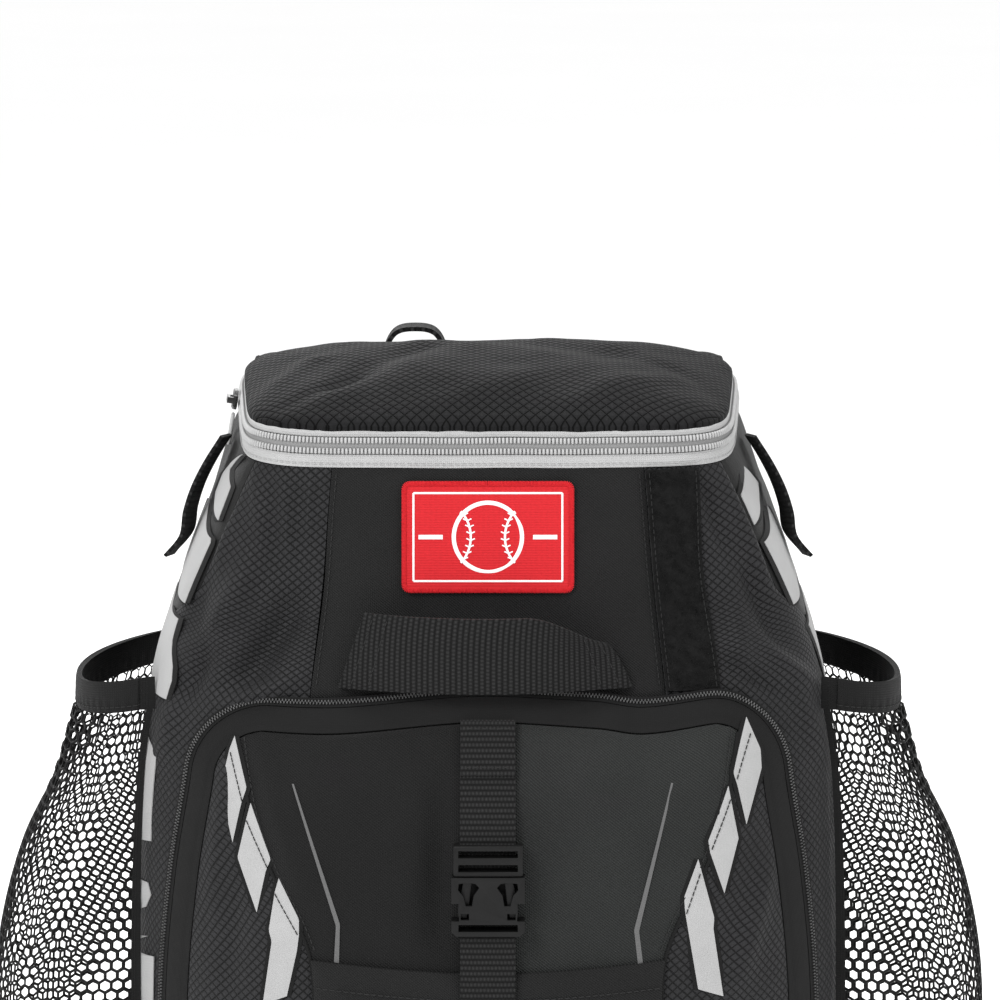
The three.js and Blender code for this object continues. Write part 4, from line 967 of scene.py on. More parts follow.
def add_body():
    levels = np.linspace(0, RIM_LEVEL, 176)
    across = shares(84)
    for name, flip, folds in (("left", True, LEFT_FOLDS), ("right", False, RIGHT_FOLDS)):
        def yoke(level):
            return yoke_angle(1, HALF_GAP, level)
        place = body_place(yoke, lambda l: gusset_angle(-HALF_GAP, l), flip)
        add_cloth(f"side_cloth_{name}", place, across, levels, M["ripstop"],
                  panel_relief(folds, 3 + flip), replaces=[f"side_panel_{name}"], centred=False)

        def back_seam(level):
            return back_angle(1, HALF_GAP, level)
        gusset = body_place(lambda l: gusset_angle(HALF_GAP, l), back_seam, flip)
        add_cloth(f"gusset_cloth_{name}", gusset, shares(46), np.linspace(0, RIM_LEVEL, 120),
                  M["nylon"], panel_relief([], 7 + flip, 0.7), replaces=[f"gusset_{name}"])
    middle = body_place(lambda l: yoke_angle(-1, -HALF_GAP, l), lambda l: yoke_angle(1, -HALF_GAP, l))
    low = YOKE_LEVEL + HALF_GAP / RIM_HEIGHT
    add_cloth("yoke_cloth", middle, shares(81), np.linspace(low, RIM_LEVEL, 56), M["twill"],
              panel_relief([], 11, 0.35), replaces=["yoke_panel"])
    add_cloth("front_cloth", middle, shares(30), np.linspace(0, YOKE_LEVEL, 40), M["twill"],
              replaces=["front_wall"])


# Heights of the back's sewn channels
BACK_CHANNELS = [60, 150, 240, 330, 410]


def add_back():
    top = RIM_HEIGHT + ZIP_BAND

    def place(u, z, out):
        level = np.minimum(z / RIM_HEIGHT, 1)
        angle = lerp(back_angle(1, -HALF_GAP, level), back_angle(-1, -HALF_GAP, level), u)
        on_wall = on_body(angle, level, out)
        above = np.maximum(z - RIM_HEIGHT, 0)
        on_top = on_band(angle, above, out)
        return np.where((z > RIM_HEIGHT)[..., None], on_top, on_wall)

    def relief(points, u, z):
        across = np.abs(u - 0.5) * 2
        channel = sum(np.exp(-((z - c) / 5) ** 2) for c in BACK_CHANNELS)
        spine = np.exp(-((across - 0.22) / 0.035) ** 2)
        return -2.6 * np.clip(channel * (across > 0.2) + spine, 0, 1) + 0.4 * ripple(points, 30, 21)

    piece = add_cloth("back_cloth", place, shares(91), np.linspace(0, top - HALF_GAP, 150),
                      M["air_mesh"], relief, thick=BACK_PAD - 1.5, dip=1.6,
                      replaces=["back_panel"])


# Lid

LID_FOLDS = [
    (-118, -62, -84, 8, 9, 2.0),
    (-100, -70, -60, -30, 6, -1.4),
    (-70, -40, -30, 20, 10, -1.8),
    (118, -60, 90, 0, 9, -1.6),
    (40, -70, 90, -20, 10, 1.2),
    (-20, -72, 20, -40, 12, 1.0),
    (60, 10, -40, 60, 14, -1.5),
]


LID_ROUND = 2.2  # how far in the lid's edge is rounded


def lid_point(a, b, out):
    """A point of the lid for a place in a square from -1 to 1."""
    share = np.maximum(np.abs(a), np.abs(b))
    angle = np.arctan2(b, a)
    edge = band(angle, np.full_like(angle, ZIP_BAND + HALF_GAP))
    _, front_reach, back_reach = section_at(1.0)
    x, y = edge[..., 0] * share, edge[..., 1] * share
    rise = RIM_RISE * (y + front_reach) / (front_reach + back_reach)
    plane = RIM_HEIGHT + ZIP_BAND + HALF_GAP + rise
    crown = LID_CROWN * (1 - share ** CROWN_POWER)
    return np.stack([x, y, plane + CLOTH + crown + out], -1)


def add_lid():
    steps = np.sin(np.linspace(-math.pi / 2, math.pi / 2, 111))
    spread = np.sign(steps) * np.abs(steps) ** 0.9
    a, b = np.meshgrid(spread, spread)
    flat = lid_point(a, b, np.zeros_like(a))
    folds = np.zeros_like(a)
    for x0, y0, x1, y1, wide, high in LID_FOLDS:
        run = np.array([x1 - x0, y1 - y0], float)
        t = np.clip(((flat[..., :2] - (x0, y0)) @ run) / (run @ run), 0, 1)
        away = np.linalg.norm(flat[..., :2] - (x0, y0) - t[..., None] * run, axis=-1)
        folds += LID_FOLD_DEPTH * high * np.exp(-(away / wide) ** 2)
    share = np.maximum(np.abs(a), np.abs(b))
    inside = 1 - share ** 8
    out = (folds + 0.7 * ripple(flat, 42, 31) + 0.3 * ripple(flat, 16, 32)) * inside
    out += 0.3 * ripple(flat, 7, 33) * np.exp(-((1 - share) / 0.05))
    out -= 2 * np.exp(-(1 - share) * section_at(1.0)[0] / LID_ROUND)
    points, quads = sheet_mesh(lid_point(a, b, out), lid_point(a, b, out - CLOTH))
    uv = flat[..., :2].reshape(-1, 2)
    add_piece("lid_cloth", points, quads, M["lid_ripstop"], np.concatenate([uv, uv]), ["lid"])


# Lid zipper

def band_ends():
    end = float(back_angle(1, HALF_GAP, np.array(1.0)))
    return -math.pi - end, end


def swayed_band(angle, h, out):
    """The zipper band with its slow unevenness."""
    points = on_band(angle, h, out)
    points[..., 2] += 0.22 * ripple(points, 26, 41)
    return points


def add_band_strip(name, low, high, material, out, replaces):
    start, end = band_ends()

    def place(u, h, o):
        return swayed_band(lerp(start, end, u), h, o)

    us = shares(420)
    vs = np.linspace(low + HALF_GAP, high - HALF_GAP, 7)
    add_cloth(name, place, us, vs, material, lift=out, dip=0.5, pucker=0.12, replaces=replaces)


def add_lid_zipper():
    start, end = band_ends()
    add_band_strip("lid_tape_low", 0, TAPE_LOWER, M["grey_tape"], 0, ["lid_tape_lower"])
    add_band_strip("lid_tape_high", ZIP_BAND - TAPE_UPPER, ZIP_BAND, M["grey_tape"], 0,
                   ["lid_tape_upper"])
    add_band_strip("lid_coil_bed", TAPE_LOWER, TAPE_LOWER + LID_COIL, M["zip_bed"],
                   LID_COIL_PROUD - 1.3, ())
    middle = TAPE_LOWER + LID_COIL / 2

    def route(angle, side, out):
        return swayed_band(angle, middle + side, out)

    add_teeth("lid_teeth", route, start, end, LID_TOOTH, LID_TOOTH_REACH, LID_TOOTH_SIZE,
              LID_COIL_PROUD - LID_TOOTH_SINK, M["grey_tooth"], ["lid_coil"])

    def seam(height):
        return lambda t, out: swayed_band(lerp(start, end, np.clip(t, 0.001, 0.999)), height, out + 0.1)
    add_stitches("lid_tape_stitches", [seam(1.7)], M["grey_thread"], wide=0.6)
    add_softened("lid_slider", "lid_slider_body", M["metal"], 0.5)
    add_softened("pocket_slider", "pocket_slider_body", M["metal"], 0.4)
    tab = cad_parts["lid_puller"]
    corners = np.array([tab.matrix_world @ v.co for v in tab.data.vertices]) / MM
    long_way, wide_way, _ = np.linalg.svd(corners - corners.mean(axis=0))[2]
    turn = np.linspace(0, 2 * math.pi, 64, endpoint=False)[:, None]
    loop = corners.mean(axis=0) + long_way * PULL_LONG * np.cos(turn) + wide_way * PULL_WIDE * np.sin(turn)
    add_tube("pull_loop", loop, PULL_CORD, M["cord"], closed=True, replaces=["lid_puller"])


# Front pocket

def outline_points(inset):
    """The pocket's outline from its lower left end over the top to its lower right end, as x and z."""
    top = POCKET_TOP - inset
    radius = POCKET_CORNER - inset
    straight = np.linspace(POCKET_BOTTOM, top - radius, 500)
    corner = top - radius + radius * np.sin(np.linspace(0, math.pi / 2, 120))[1:]
    z = np.concatenate([straight, corner])
    x = outline_half(z, inset)
    run = np.linspace(-x[-1], x[-1], 400)[1:-1]
    return np.concatenate([
        np.stack([-x, z], -1), np.stack([run, np.full_like(run, top)], -1), np.stack([x, z], -1)[::-1],
    ])


def outline_at(t, inset):
    """Points of the outline at shares of its length, drawn in by inset."""
    base = outline_points(0)
    length = run_along(base)
    place = np.interp(t, length / length[-1], np.arange(len(base)))
    drawn = outline_points(inset)
    steps = np.arange(len(drawn))
    return np.interp(place, steps, drawn[:, 0]), np.interp(place, steps, drawn[:, 1])


def add_pocket_strip(name, from_inset, to_inset, material, lift, relief=None, replaces=(),
                     steps=520, rows=7):
    us = shares(steps)
    insets = np.linspace(from_inset, to_inset, rows)
    lines = [outline_at(us, inset) for inset in insets]
    grid_x = np.array([line[0] for line in lines])
    grid_z = np.array([line[1] for line in lines])

    def place(u, inset, out):
        return on_pocket(grid_x, grid_z, out)

    return add_cloth(name, place, us, insets, material, relief, lift, dip=0.4, pucker=0.1,
                     replaces=replaces)


def add_teeth(name, route, low, high, pitch, reach, size, lift, material, replaces):
    """Two staggered rows of teeth along a route(t, side, out), reach to each side of its middle."""
    at = even_steps(lambda t: route(t, 0.0, 0.0), low, high, pitch)
    shift = (at[1] - at[0]) / 2
    step = (high - low) * 1e-4
    seats, axes = [], []
    for side, late in ((1, 0.0), (-1, shift)):
        here = at + late
        ahead = unit(route(here + step, 0.0, 0.0) - route(here - step, 0.0, 0.0))
        outward = unit(route(here, 0.0, 1.0) - route(here, 0.0, 0.0))
        seats.append(route(here, side * reach, lift))
        axes.append(np.stack([np.cross(outward, ahead) * size[0], ahead * size[1], outward * size[2]], 1))
    template, quads = spindle(6, ((-0.5, 0.5), (-0.36, 0.92), (0.0, 1.0), (0.36, 0.92), (0.5, 0.5)))
    add_copies(name, template, quads, np.concatenate(seats), np.concatenate(axes), material,
               replaces)


def flap_place(u, z, out):
    return on_pocket(u * (panel_edge(z) - HALF_GAP), z, out)


# Folds of the flap, by photo pixels
FLAP_FOLDS = [
    (440, 760, 436, 960, 16, -1.4),
    (545, 780, 540, 960, 18, -0.8),
    (640, 740, 560, 800, 30, 1.2),
    (300, 740, 420, 730, 12, 0.8),
    (250, 730, 300, 900, 14, 0.8),
]
POCKET_FOLDS = [
    (225, 760, 210, 900, 9, 0.9),
    (240, 870, 225, 1000, 12, -0.9),
    (775, 850, 735, 985, 12, 1.6),
    (760, 760, 790, 900, 8, -0.8),
    (800, 900, 815, 1000, 8, 0.8),
]
HEM_BAND = 15  # width of the lower pocket's hem


def add_pocket():
    def tape_relief(points, u, inset):
        return -0.55 * np.exp(-((inset - POCKET_TAPE) / 0.8) ** 2) + 0.15 * ripple(points, 12, 51)

    add_pocket_strip("pocket_coil_bed", -2, 1.85, M["black_tape"], 0.1)
    add_pocket_strip("pocket_tape_cloth", 2.15, 12, M["black_tape"], 0, tape_relief,
                     ["pocket_tape"], rows=12)

    def route(t, side, out):
        x, z = outline_at(t, -side)
        return on_pocket(x, z, np.full_like(x, out))

    # The teeth's grey is lighter than their black: painted highlights.
    add_teeth("pocket_teeth", route, 0.004, 0.996, POCKET_TOOTH, POCKET_TOOTH_REACH, POCKET_TOOTH_SIZE,
              POCKET_TOOTH_LIFT, M["black_tooth_with_painted_highlight"], ["pocket_coil"])

    flap_low = HEM_HEIGHT - HEM_SAG - HEM_TUCK
    flap_high = POCKET_TOP - INNER_INSET - 0.3
    add_cloth("flap_cloth", flap_place, np.linspace(-1, 1, 106), np.linspace(flap_low, flap_high, 66),
              M["flap_twill"], panel_relief(FLAP_FOLDS, 61, 0.45), replaces=["front_flap"])

    heights = np.linspace(POCKET_BOTTOM, flap_high, 400)
    room = outline_half(heights, INNER_INSET) - flap_half(heights)
    side_high = heights[room > 0.8][-1]
    for name, sign in (("left", -1), ("right", 1)):
        def side_place(u, z, out, sign=sign):
            x = lerp(flap_half(z) + HALF_GAP, outline_half(z, INNER_INSET), u)
            return on_pocket(sign * x, z, out)
        add_cloth(f"pocket_side_cloth_{name}", side_place, shares(30),
                  np.linspace(POCKET_BOTTOM, side_high, 130), M["ripstop"],
                  panel_relief(POCKET_FOLDS, 63 + sign), replaces=[f"pocket_side_{name}"], centred=False)

    def lower_place(u, v, out):
        top = hem_at(u * flap_half(HEM_HEIGHT))
        z = lerp(POCKET_BOTTOM, top, v)
        return on_pocket(u * (flap_half(z) - HALF_GAP), z, out)

    def hem_relief(points, u, v):
        down = (1 - v) * (HEM_HEIGHT - POCKET_BOTTOM)
        fold = 0.6 * smoothstep(down, HEM_BAND + 1.5, HEM_BAND)
        fold -= 0.7 * np.exp(-((down - HEM_BAND) / 1.1) ** 2)
        return fold + 0.6 * ripple(points, 36, 66) + 0.2 * ripple(points, 12, 67)

    add_cloth("lower_pocket_cloth", lower_place, np.linspace(-1, 1, 82), shares(90), M["twill"],
              hem_relief, lift=0.3 + CLOTH, replaces=["lower_pocket"])

    def hem_seam(t, out):
        x = lerp(-0.97, 0.97, t) * flap_half(HEM_HEIGHT)
        return on_pocket(x, hem_at(x) - HEM_BAND + 3, out + 0.9 + CLOTH)

    routes = [hem_seam]
    for sign in (-1, 1):
        def flap_seam(t, out, sign=sign):
            z = lerp(HEM_HEIGHT + 4, flap_high - 3, t)
            return on_pocket(sign * (panel_edge(z) - 3), z, out + 0.25)
        routes.append(flap_seam)
        z = np.linspace(POCKET_BOTTOM + 1, side_high, 260)
        line = on_pocket(sign * flap_half(z), z, np.full_like(z, -0.4))
        add_tube(f"flap_piping_{'left' if sign < 0 else 'right'}", line, 0.85, M["binding"])
    add_stitches("pocket_stitches", routes, M["black_thread"])


# Light pieces, by photo pixels: each has a left and a right edge from its top to its foot
POCKET_STRIPES = {
    "left_1": (
        [(235, 736), (230, 749), (221, 787), (233, 842)],
        [(235, 736), (247, 788), (242, 802), (233, 842)],
    ),
    "left_2": (
        [(251, 803), (247, 818), (238, 857), (257, 912)],
        [(251, 803), (271, 859), (266, 871), (257, 912)],
    ),
    "left_3": ([(279, 878), (275, 892), (269, 930), (272, 941), (263, 1004)],
               [(279, 878), (299, 919), (299, 935), (297, 951), (287, 996)]),
    "right_1": (
        [(746, 717), (733, 773), (737, 785), (746, 824)],
        [(746, 717), (760, 749), (761, 768), (746, 824)],
    ),
    "right_2": ([(728, 786), (708, 841), (710, 853), (724, 893)], [(728, 786), (738, 838), (724, 893)]),
    "right_3": (
        [(698, 859), (684, 897), (685, 912), (698, 989)],
        [(698, 859), (714, 918), (713, 928), (723, 996)],
    ),
}
STRIPE_SEAMS = [
    [(231, 752), (243, 802)], [(247, 820), (268, 868)], [(275, 893), (298, 935)],
    [(750, 733), (736, 780)], [(730, 799), (711, 850)], [(700, 873), (686, 914)],
]
FLAP_LINES = {
    "left": ([(292, 784), (336, 926), (334, 962)], [(294, 784), (340, 924), (339, 963)]),
    "right": ([(671, 783), (634, 930), (638, 965)], [(673, 783), (639, 931), (643, 964)]),
}
SIDE_PIECES = {
    "left_1": (
        [(243, 455), (224, 474), (217, 492), (219, 521)],
        [(243, 455), (231, 470), (232, 487), (219, 521)],
    ),
    "left_2": (
        [(211, 498), (203, 515), (184, 562), (186, 603)],
        [(211, 498), (213, 540), (202, 565), (186, 603)],
    ),
    "left_3": ([(176, 581), (158, 638), (149, 677), (167, 700)],
               [(176, 581), (180, 619), (173, 642), (175, 675), (167, 700)]),
    "left_4": ([(146, 703), (143, 760), (145, 835)], [(147, 703), (158, 753), (153, 804), (152, 841)]),
    "left_5": ([(144, 864), (144, 900), (149, 934)], [(146, 864), (153, 883), (151, 906), (150, 934)]),
    "left_6": (
        [(149, 936), (146, 957), (146, 1010), (150, 1060)],
        [(150, 936), (155, 957), (154, 1010), (152, 1060)],
    ),
    "right_1": ([(742, 466), (740, 496), (753, 525)], [(742, 466), (757, 483), (758, 501), (753, 525)]),
    "right_2": ([(766, 506), (763, 542), (793, 605)], [(766, 506), (798, 569), (793, 605)]),
    "right_3": ([(803, 584), (808, 626), (833, 703)], [(803, 584), (820, 620), (838, 684), (834, 703)]),
    "right_4": ([(838, 708), (834, 760), (839, 842)], [(839, 708), (848, 770), (848, 842)]),
    "right_5": (
        [(848, 864), (843, 880), (845, 1010), (850, 1060)],
        [(850, 864), (855, 900), (856, 1010), (853, 1060)],
    ),
}
PIECE_THICK = 0.5


def add_piece_between(name, edges, find, place, material, lift, rows=36, columns=9,
                      thick=PIECE_THICK):
    """A thin sheet between two edges, found on the surface from their pixels."""
    left, right = (np.array(find(edge)) for edge in edges)

    def between(u, v, out):
        a, b = along_line(left, v), along_line(right, v)
        ends = lerp(a, b, u[..., None])
        return place(ends[..., 0], ends[..., 1], out)

    return add_cloth(name, between, shares(columns), shares(rows), material,
                     lift=lift, thick=thick, dip=0.25, pucker=0.08)


def find_on_pocket(pixels):
    """x and z on the pocket at each pixel, by closing in on it."""
    found = []
    for pixel in pixels:
        x, z = 0.0, 300.0
        for _ in range(SEARCH_STEPS):
            here = on_pocket(np.array([x]), np.array([z]), 0.0)
            away = np.array(pixel) - project(here)[0]
            x += away[0] / PIXELS_PER_MM
            z = max(z - away[1] / PIXELS_PER_MM, POCKET_BOTTOM)
        found.append((x, z))
    return found


def find_on_side(sign):
    angles = np.linspace(math.radians(-80), math.radians(20), 500)
    levels = np.linspace(0.05, 1, 800)

    def surface(angle, level):
        points = body(angle, level)
        return points if sign > 0 else mirror(points)

    return lambda pixels: seen(pixels, surface, angles, levels)


def widened(edges, by):
    """Two edges moved apart by a number of pixels."""
    left, right = edges
    return [(x - by, y) for x, y in left], [(x + by, y) for x, y in right]


GAP_SHADE_MARGIN = 4  # pixels of black tape beside each light piece: a dark band of painted shade for the gap along its edges
GAP_SHADED_SIDE_PIECES = 3  # the uppermost pieces of each side have such a band of painted shade


def add_light_pieces():
    for name, edges in POCKET_STRIPES.items():
        add_piece_between(f"stripe_{name}", edges, find_on_pocket, on_pocket, M["grey_patch"],
                          0.75)
        # A dark sheet of black tape round the stripe: painted shade of the gap along its edges.
        add_piece_between(f"stripe_bed_{name}", widened(edges, GAP_SHADE_MARGIN), find_on_pocket, on_pocket,
                          M["black_tape"], 0.35)
    for name, edges in FLAP_LINES.items():
        add_piece_between(f"flap_line_{name}", edges, find_on_pocket, on_pocket, M["grey_line"],
                          0.75, rows=60, columns=3, thick=0.3)
    routes = []
    for seam in STRIPE_SEAMS:
        line = np.array(find_on_pocket(seam))

        def route(t, out, line=line):
            ends = along_line(line, t)
            return on_pocket(ends[:, 0], ends[:, 1], out + 0.75)
        routes.append(route)
    add_stitches("stripe_stitches", routes, M["black_thread"], length=2.4, pitch=2.6,
                 wide=0.7)
    for sign, side in ((-1, "left"), (1, "right")):
        def place(angle, level, out, sign=sign):
            points = on_body(angle, level, out)
            return points if sign > 0 else mirror(points)
        for name, edges in SIDE_PIECES.items():
            if name.startswith(side):
                add_piece_between(f"side_piece_{name}", edges, find_on_side(sign), place, M["grey_patch"],
                                  1.0)
                if int(name[-1]) <= GAP_SHADED_SIDE_PIECES:
                    # A dark sheet of black tape round the piece: painted shade of the gap along its edges.
                    add_piece_between(f"side_bed_{name}", widened(edges, GAP_SHADE_MARGIN), find_on_side(sign),
                                      place, M["black_tape"], 0.55)


# Webbing, buckle, handle and trim

def add_webbing(name, place, us, vs, lift, thick=WEBBING, replaces=(), dip=0.3, pucker=0.08):
    """A length of webbing over place(along, across, out)."""
    return add_cloth(name, place, us, vs, M["webbing"], lift=lift, thick=thick, dip=dip,
                     pucker=pucker, replaces=replaces)


def strap_lift(z, lying):
    reach = BUCKLE_REACH
    near = smoothstep(-np.abs(z - BUCKLE_HEIGHT), -2.2 * reach, -0.8 * reach)
    return lerp(lying, BUCKLE_LIFT - WEBBING / 2, near)


def strap_place(lying):
    def place(z, x, out):
        seat = on_pocket(np.zeros_like(z), z, strap_lift(z, lying) + out)
        return np.stack([x, seat[..., 1], seat[..., 2]], -1)
    return place


def add_softened(node, name, material, width):
    """A copy of a solid with rounded edges, which stands for it."""
    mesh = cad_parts[node].data.copy()
    mesh.name = name
    form = bmesh.new()
    form.from_mesh(mesh)
    bmesh.ops.remove_doubles(form, verts=form.verts, dist=1e-6)
    bmesh.ops.dissolve_limit(form, angle_limit=math.radians(2), verts=form.verts, edges=form.edges)
    sharp = [e for e in form.edges if len(e.link_faces) == 2 and e.calc_face_angle(0) > math.radians(25)]
    bmesh.ops.bevel(form, geom=sharp, offset=width * MM, segments=2, profile=0.5, affect="EDGES",
                    clamp_overlap=True)
    form.to_mesh(mesh)
    form.free()
    mesh.shade_smooth()
    mesh.set_sharp_from_angle(angle=math.radians(38))
    mesh.materials.clear()
    mesh.materials.append(material)
    piece = bpy.data.objects.new(name, mesh)
    bpy.context.scene.collection.objects.link(piece)
    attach(piece, "root")
    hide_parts(node)
    return piece


def add_flap_strap():
    over_hem = 0.3 + CLOTH + SEAT
    widths = np.linspace(-WEBBING_WIDTH / 2, WEBBING_WIDTH / 2, 15)
    seat = on_pocket(np.zeros(1), np.full(1, float(BUCKLE_HEIGHT)), BUCKLE_LIFT)[0]
    drop = seat[2] - BUCKLE_HEIGHT
    upper = np.linspace(seat[2] + BUCKLE_REACH - drop - 3, STRAP_TOP, 60)
    lower = np.linspace(STRAP_BOTTOM, seat[2] - BUCKLE_HALF - drop + 2, 150)
    add_webbing("strap_upper", strap_place(SEAT), upper, widths, WEBBING, replaces=["flap_strap_upper"])
    add_webbing("strap_lower", strap_place(over_hem), lower, widths, WEBBING,
                replaces=["flap_strap_lower"])
    fold = np.linspace(STRAP_TOP - 21, STRAP_TOP - 1, 20)
    add_webbing("strap_fold", strap_place(SEAT), fold, widths * 0.99, 2 * WEBBING, WEBBING - 0.1)
    ladder = np.linspace(upper[0] - 14, upper[0] + 2, 16)
    add_webbing("strap_in_buckle", strap_place(SEAT), ladder, widths * 0.97, -1.4, dip=0.1, pucker=0.0)

    def fold_seam(z):
        return lambda t, out: strap_place(SEAT)(np.full_like(t, z), lerp(-10, 10, t), out + 2 * WEBBING)
    add_stitches("strap_stitches", [fold_seam(STRAP_TOP - 4.0), fold_seam(STRAP_TOP - 18.0)],
                 M["black_thread"])
    add_softened("buckle_socket", "socket", M["plastic"], 0.45)
    add_softened("buckle_plug", "plug", M["plastic"], 0.35)


def handle_place(share, up, out):
    x = HANDLE_OFFSET + (share - 0.5) * lerp(HANDLE_LENGTH, HANDLE_UPPER_LENGTH, up)
    droop = HANDLE_DROOP * smoothstep(share, 0.66, 1.06) * np.clip(up, 0, 1) ** 2
    z = HANDLE_BOTTOM + up * HANDLE_WIDTH - droop
    arch = HANDLE_ARCH * np.sin(math.pi * np.clip(share, 0, 1)) ** 0.8
    seat = on_front(x, z, np.full_like(x, SEAT))
    upright = on_front(x, np.full_like(x, float(HANDLE_BOTTOM)), np.full_like(x, SEAT))
    seat[..., 1] = lerp(upright[..., 1], seat[..., 1], 0.25) - arch - out
    return seat


def add_handle():
    add_cloth("handle", handle_place, shares(150), shares(24), M["webbing"],
              rippled(0.3, 30, 71), HANDLE_WEBBING, HANDLE_WEBBING, dip=0.4, pucker=0.06,
              replaces=["carry_handle"])
    routes = []
    for share in (0.04, 0.1, 0.9, 0.96):
        def route(t, out, share=share):
            return handle_place(np.full_like(t, share), lerp(0.06, 0.94, t), out + HANDLE_WEBBING)
        routes.append(route)
    for sign in (-1, 1):
        def yoke_route(t, out, sign=sign):
            level = lerp(YOKE_LEVEL + 0.012, RIM_LEVEL - 0.005, t)
            return on_front(sign * (yoke_seam(level) - 2.4), level * RIM_HEIGHT, out + 0.1)
        routes.append(yoke_route)
    add_stitches("yoke_stitches", routes, M["black_thread"])


def badge_point(x, z, out):
    return on_front(x, z + BADGE_MIDDLE, SEAT + out)


def add_badge_line(name, line, wide, lift, material=None):
    """A flat embroidered line on the badge, through points of x and z from its middle."""
    line = np.array(line, float)

    def place(u, side, out):
        here = along_line(line, u)
        ahead = heading(line, u, 1e-3)
        x = here[..., 0] - ahead[..., 1] * side
        z = here[..., 1] + ahead[..., 0] * side
        return badge_point(x, z, out)

    length = np.linalg.norm(np.diff(line, axis=0), axis=-1).sum()
    add_cloth(name, place, shares(max(int(length / 1.2), 8)), np.linspace(-wide / 2, wide / 2, 6),
              material or M["white_thread"], lift=lift, thick=0.5, dip=0.3, pucker=0.1)


def add_badge():
    half, high = BADGE_WIDE / 2, BADGE_HIGH / 2
    add_cloth("badge_face", badge_point, np.linspace(-half, half, 60), np.linspace(-high, high, 40),
              M["badge"], rippled(0.15, 20, 81), 1.1, 1.1, dip=0.2, pucker=0.06,
              replaces=["badge"])
    turn = np.linspace(0, math.pi / 2, 8)
    corner = np.stack([np.cos(turn), np.sin(turn)], -1) * BADGE_CORNER
    inner_x, inner_z = half - BADGE_CORNER, high - BADGE_CORNER
    rim = np.concatenate([
        corner + (inner_x, inner_z),
        corner[::-1] * (-1, 1) + (-inner_x, inner_z),
        corner * (-1, -1) + (-inner_x, -inner_z),
        corner[::-1] * (1, -1) + (inner_x, -inner_z),
    ])
    rim = np.concatenate([rim, rim[:1]])

    def edge(t, out):
        here = along_line(rim, t % 1.0)
        return badge_point(here[:, 0], here[:, 1], out + 0.9)

    t = even_steps(lambda s: edge(s, 0.0), 0, 1, BADGE_STITCH)
    here = edge(t, 0.0)
    ahead = unit(edge(t + 1e-3, 0.0) - edge(t - 1e-3, 0.0))
    outward = unit(edge(t, 1.0) - here)
    side = np.cross(outward, ahead)
    wide, pitch, proud = BADGE_STITCH_SIZE
    axes = np.stack([side * wide, ahead * pitch, outward * proud], 1)
    template, quads = spindle(6, ((-0.5, 0.5), (-0.3, 1.0), (0.3, 1.0), (0.5, 0.5)))
    add_copies("badge_border", template, quads, here, axes, M["badge_edge"])
    turn = np.linspace(0, 2 * math.pi, 73)
    ball = BALL_RADIUS * np.stack([np.cos(turn), np.sin(turn)], -1)
    add_badge_line("ball_outline", ball, 1.9, 1.5)
    for name, sign in (("left", -1), ("right", 1)):
        def seam_at(bend, sign=sign):
            return BALL_RADIUS * sign * (1.42 - 0.92 * np.cos(bend)), BALL_RADIUS * 1.02 * np.sin(bend)
        seam = np.stack(seam_at(np.linspace(-0.82, 0.82, 30)), -1)
        add_badge_line(f"ball_seam_{name}", seam, 1.0, 1.75)
        for k, bend in enumerate(np.linspace(-0.68, 0.68, 8)):
            x, z = seam_at(bend)
            stitch = [(x - 1.9, z + 0.9), (x, z), (x + 1.9, z + 0.9)]
            add_badge_line(f"ball_stitch_{name}_{k}", stitch, 0.6, 1.6)
        add_badge_line(f"badge_bar_{name}", [(sign * 20.5, 0), (sign * 31.5, 0)], 2.0, 1.5)
    frame_x, frame_z = half - BADGE_FRAME_INSET, high - BADGE_FRAME_INSET
    inner = [(-frame_x, -frame_z), (frame_x, -frame_z), (frame_x, frame_z), (-frame_x, frame_z),
             (-frame_x, -frame_z)]
    for k in range(4):
        add_badge_line(f"badge_frame_{k}", [inner[k], inner[k + 1]], 0.9, 1.5)


def strip_point(u, z, out):
    return on_front(yoke_seam(z / RIM_HEIGHT) + HALF_GAP + u * STRIP_WIDTH, z, SEAT + out)


def add_loop_strip():
    low = POCKET_TOP + POCKET_COIL / 2 + SEAT
    high = RIM_HEIGHT - 1
    add_cloth("loop_strip_pile", strip_point, shares(26), np.linspace(low, high, 100), M["loop_tape"],
              rippled(0.3, 3.2, 91), 1.2, 1.2, dip=0.4, replaces=["loop_strip"])
    routes = []
    for side in (0.07, 0.93):
        def route(t, out, side=side):
            return strip_point(np.full_like(t, side), lerp(low + 1, high - 1, t), out + 1.2)
        routes.append(route)
    add_stitches("strip_stitches", routes, M["black_thread"])
    random = np.random.default_rng(92)
    u = random.uniform(0.03, 0.97, LOOP_FIBRES)
    z = random.uniform(low + 1, high - 1, LOOP_FIBRES)
    here = strip_point(u, z, 1.1)
    outward = unit(strip_point(u, z, 2.1) - here)
    lean = unit(outward * 0.6 + random.normal(size=(LOOP_FIBRES, 3)) * 0.7)
    side = unit(np.cross(lean, outward))
    axes = np.stack([lean * 1.5, side * 0.22, np.cross(lean, side) * 0.22], 1)
    template, quads = spindle(4, ((-0.5, 1.0), (0.5, 0.5)))
    add_copies("loop_fibres", template, quads, here, axes, M["loop_tape"])


# Nets

def net_surface(share, z):
    bulge = table_at(NET_BULGE, np.clip((z - NET_BOTTOM) / (NET_TOP - NET_BOTTOM), 0, 1))
    turn = math.pi * share
    y = lerp(-NET_FRONT, NET_BACK, (1 - np.cos(turn)) / 2)
    level = np.clip(z / RIM_HEIGHT, 0, 1)
    side = on_body(angle_at_y(y, level), level, 0.0)
    far = np.maximum(np.sin(turn), 0)
    droop = NET_DROOP * far * (z - NET_BOTTOM) / (NET_TOP - NET_BOTTOM)
    x = side[..., 0] + NET_THICK + SEAT + NET_REACH * bulge * far ** 0.85
    return np.stack([x, side[..., 1], z - droop], -1)


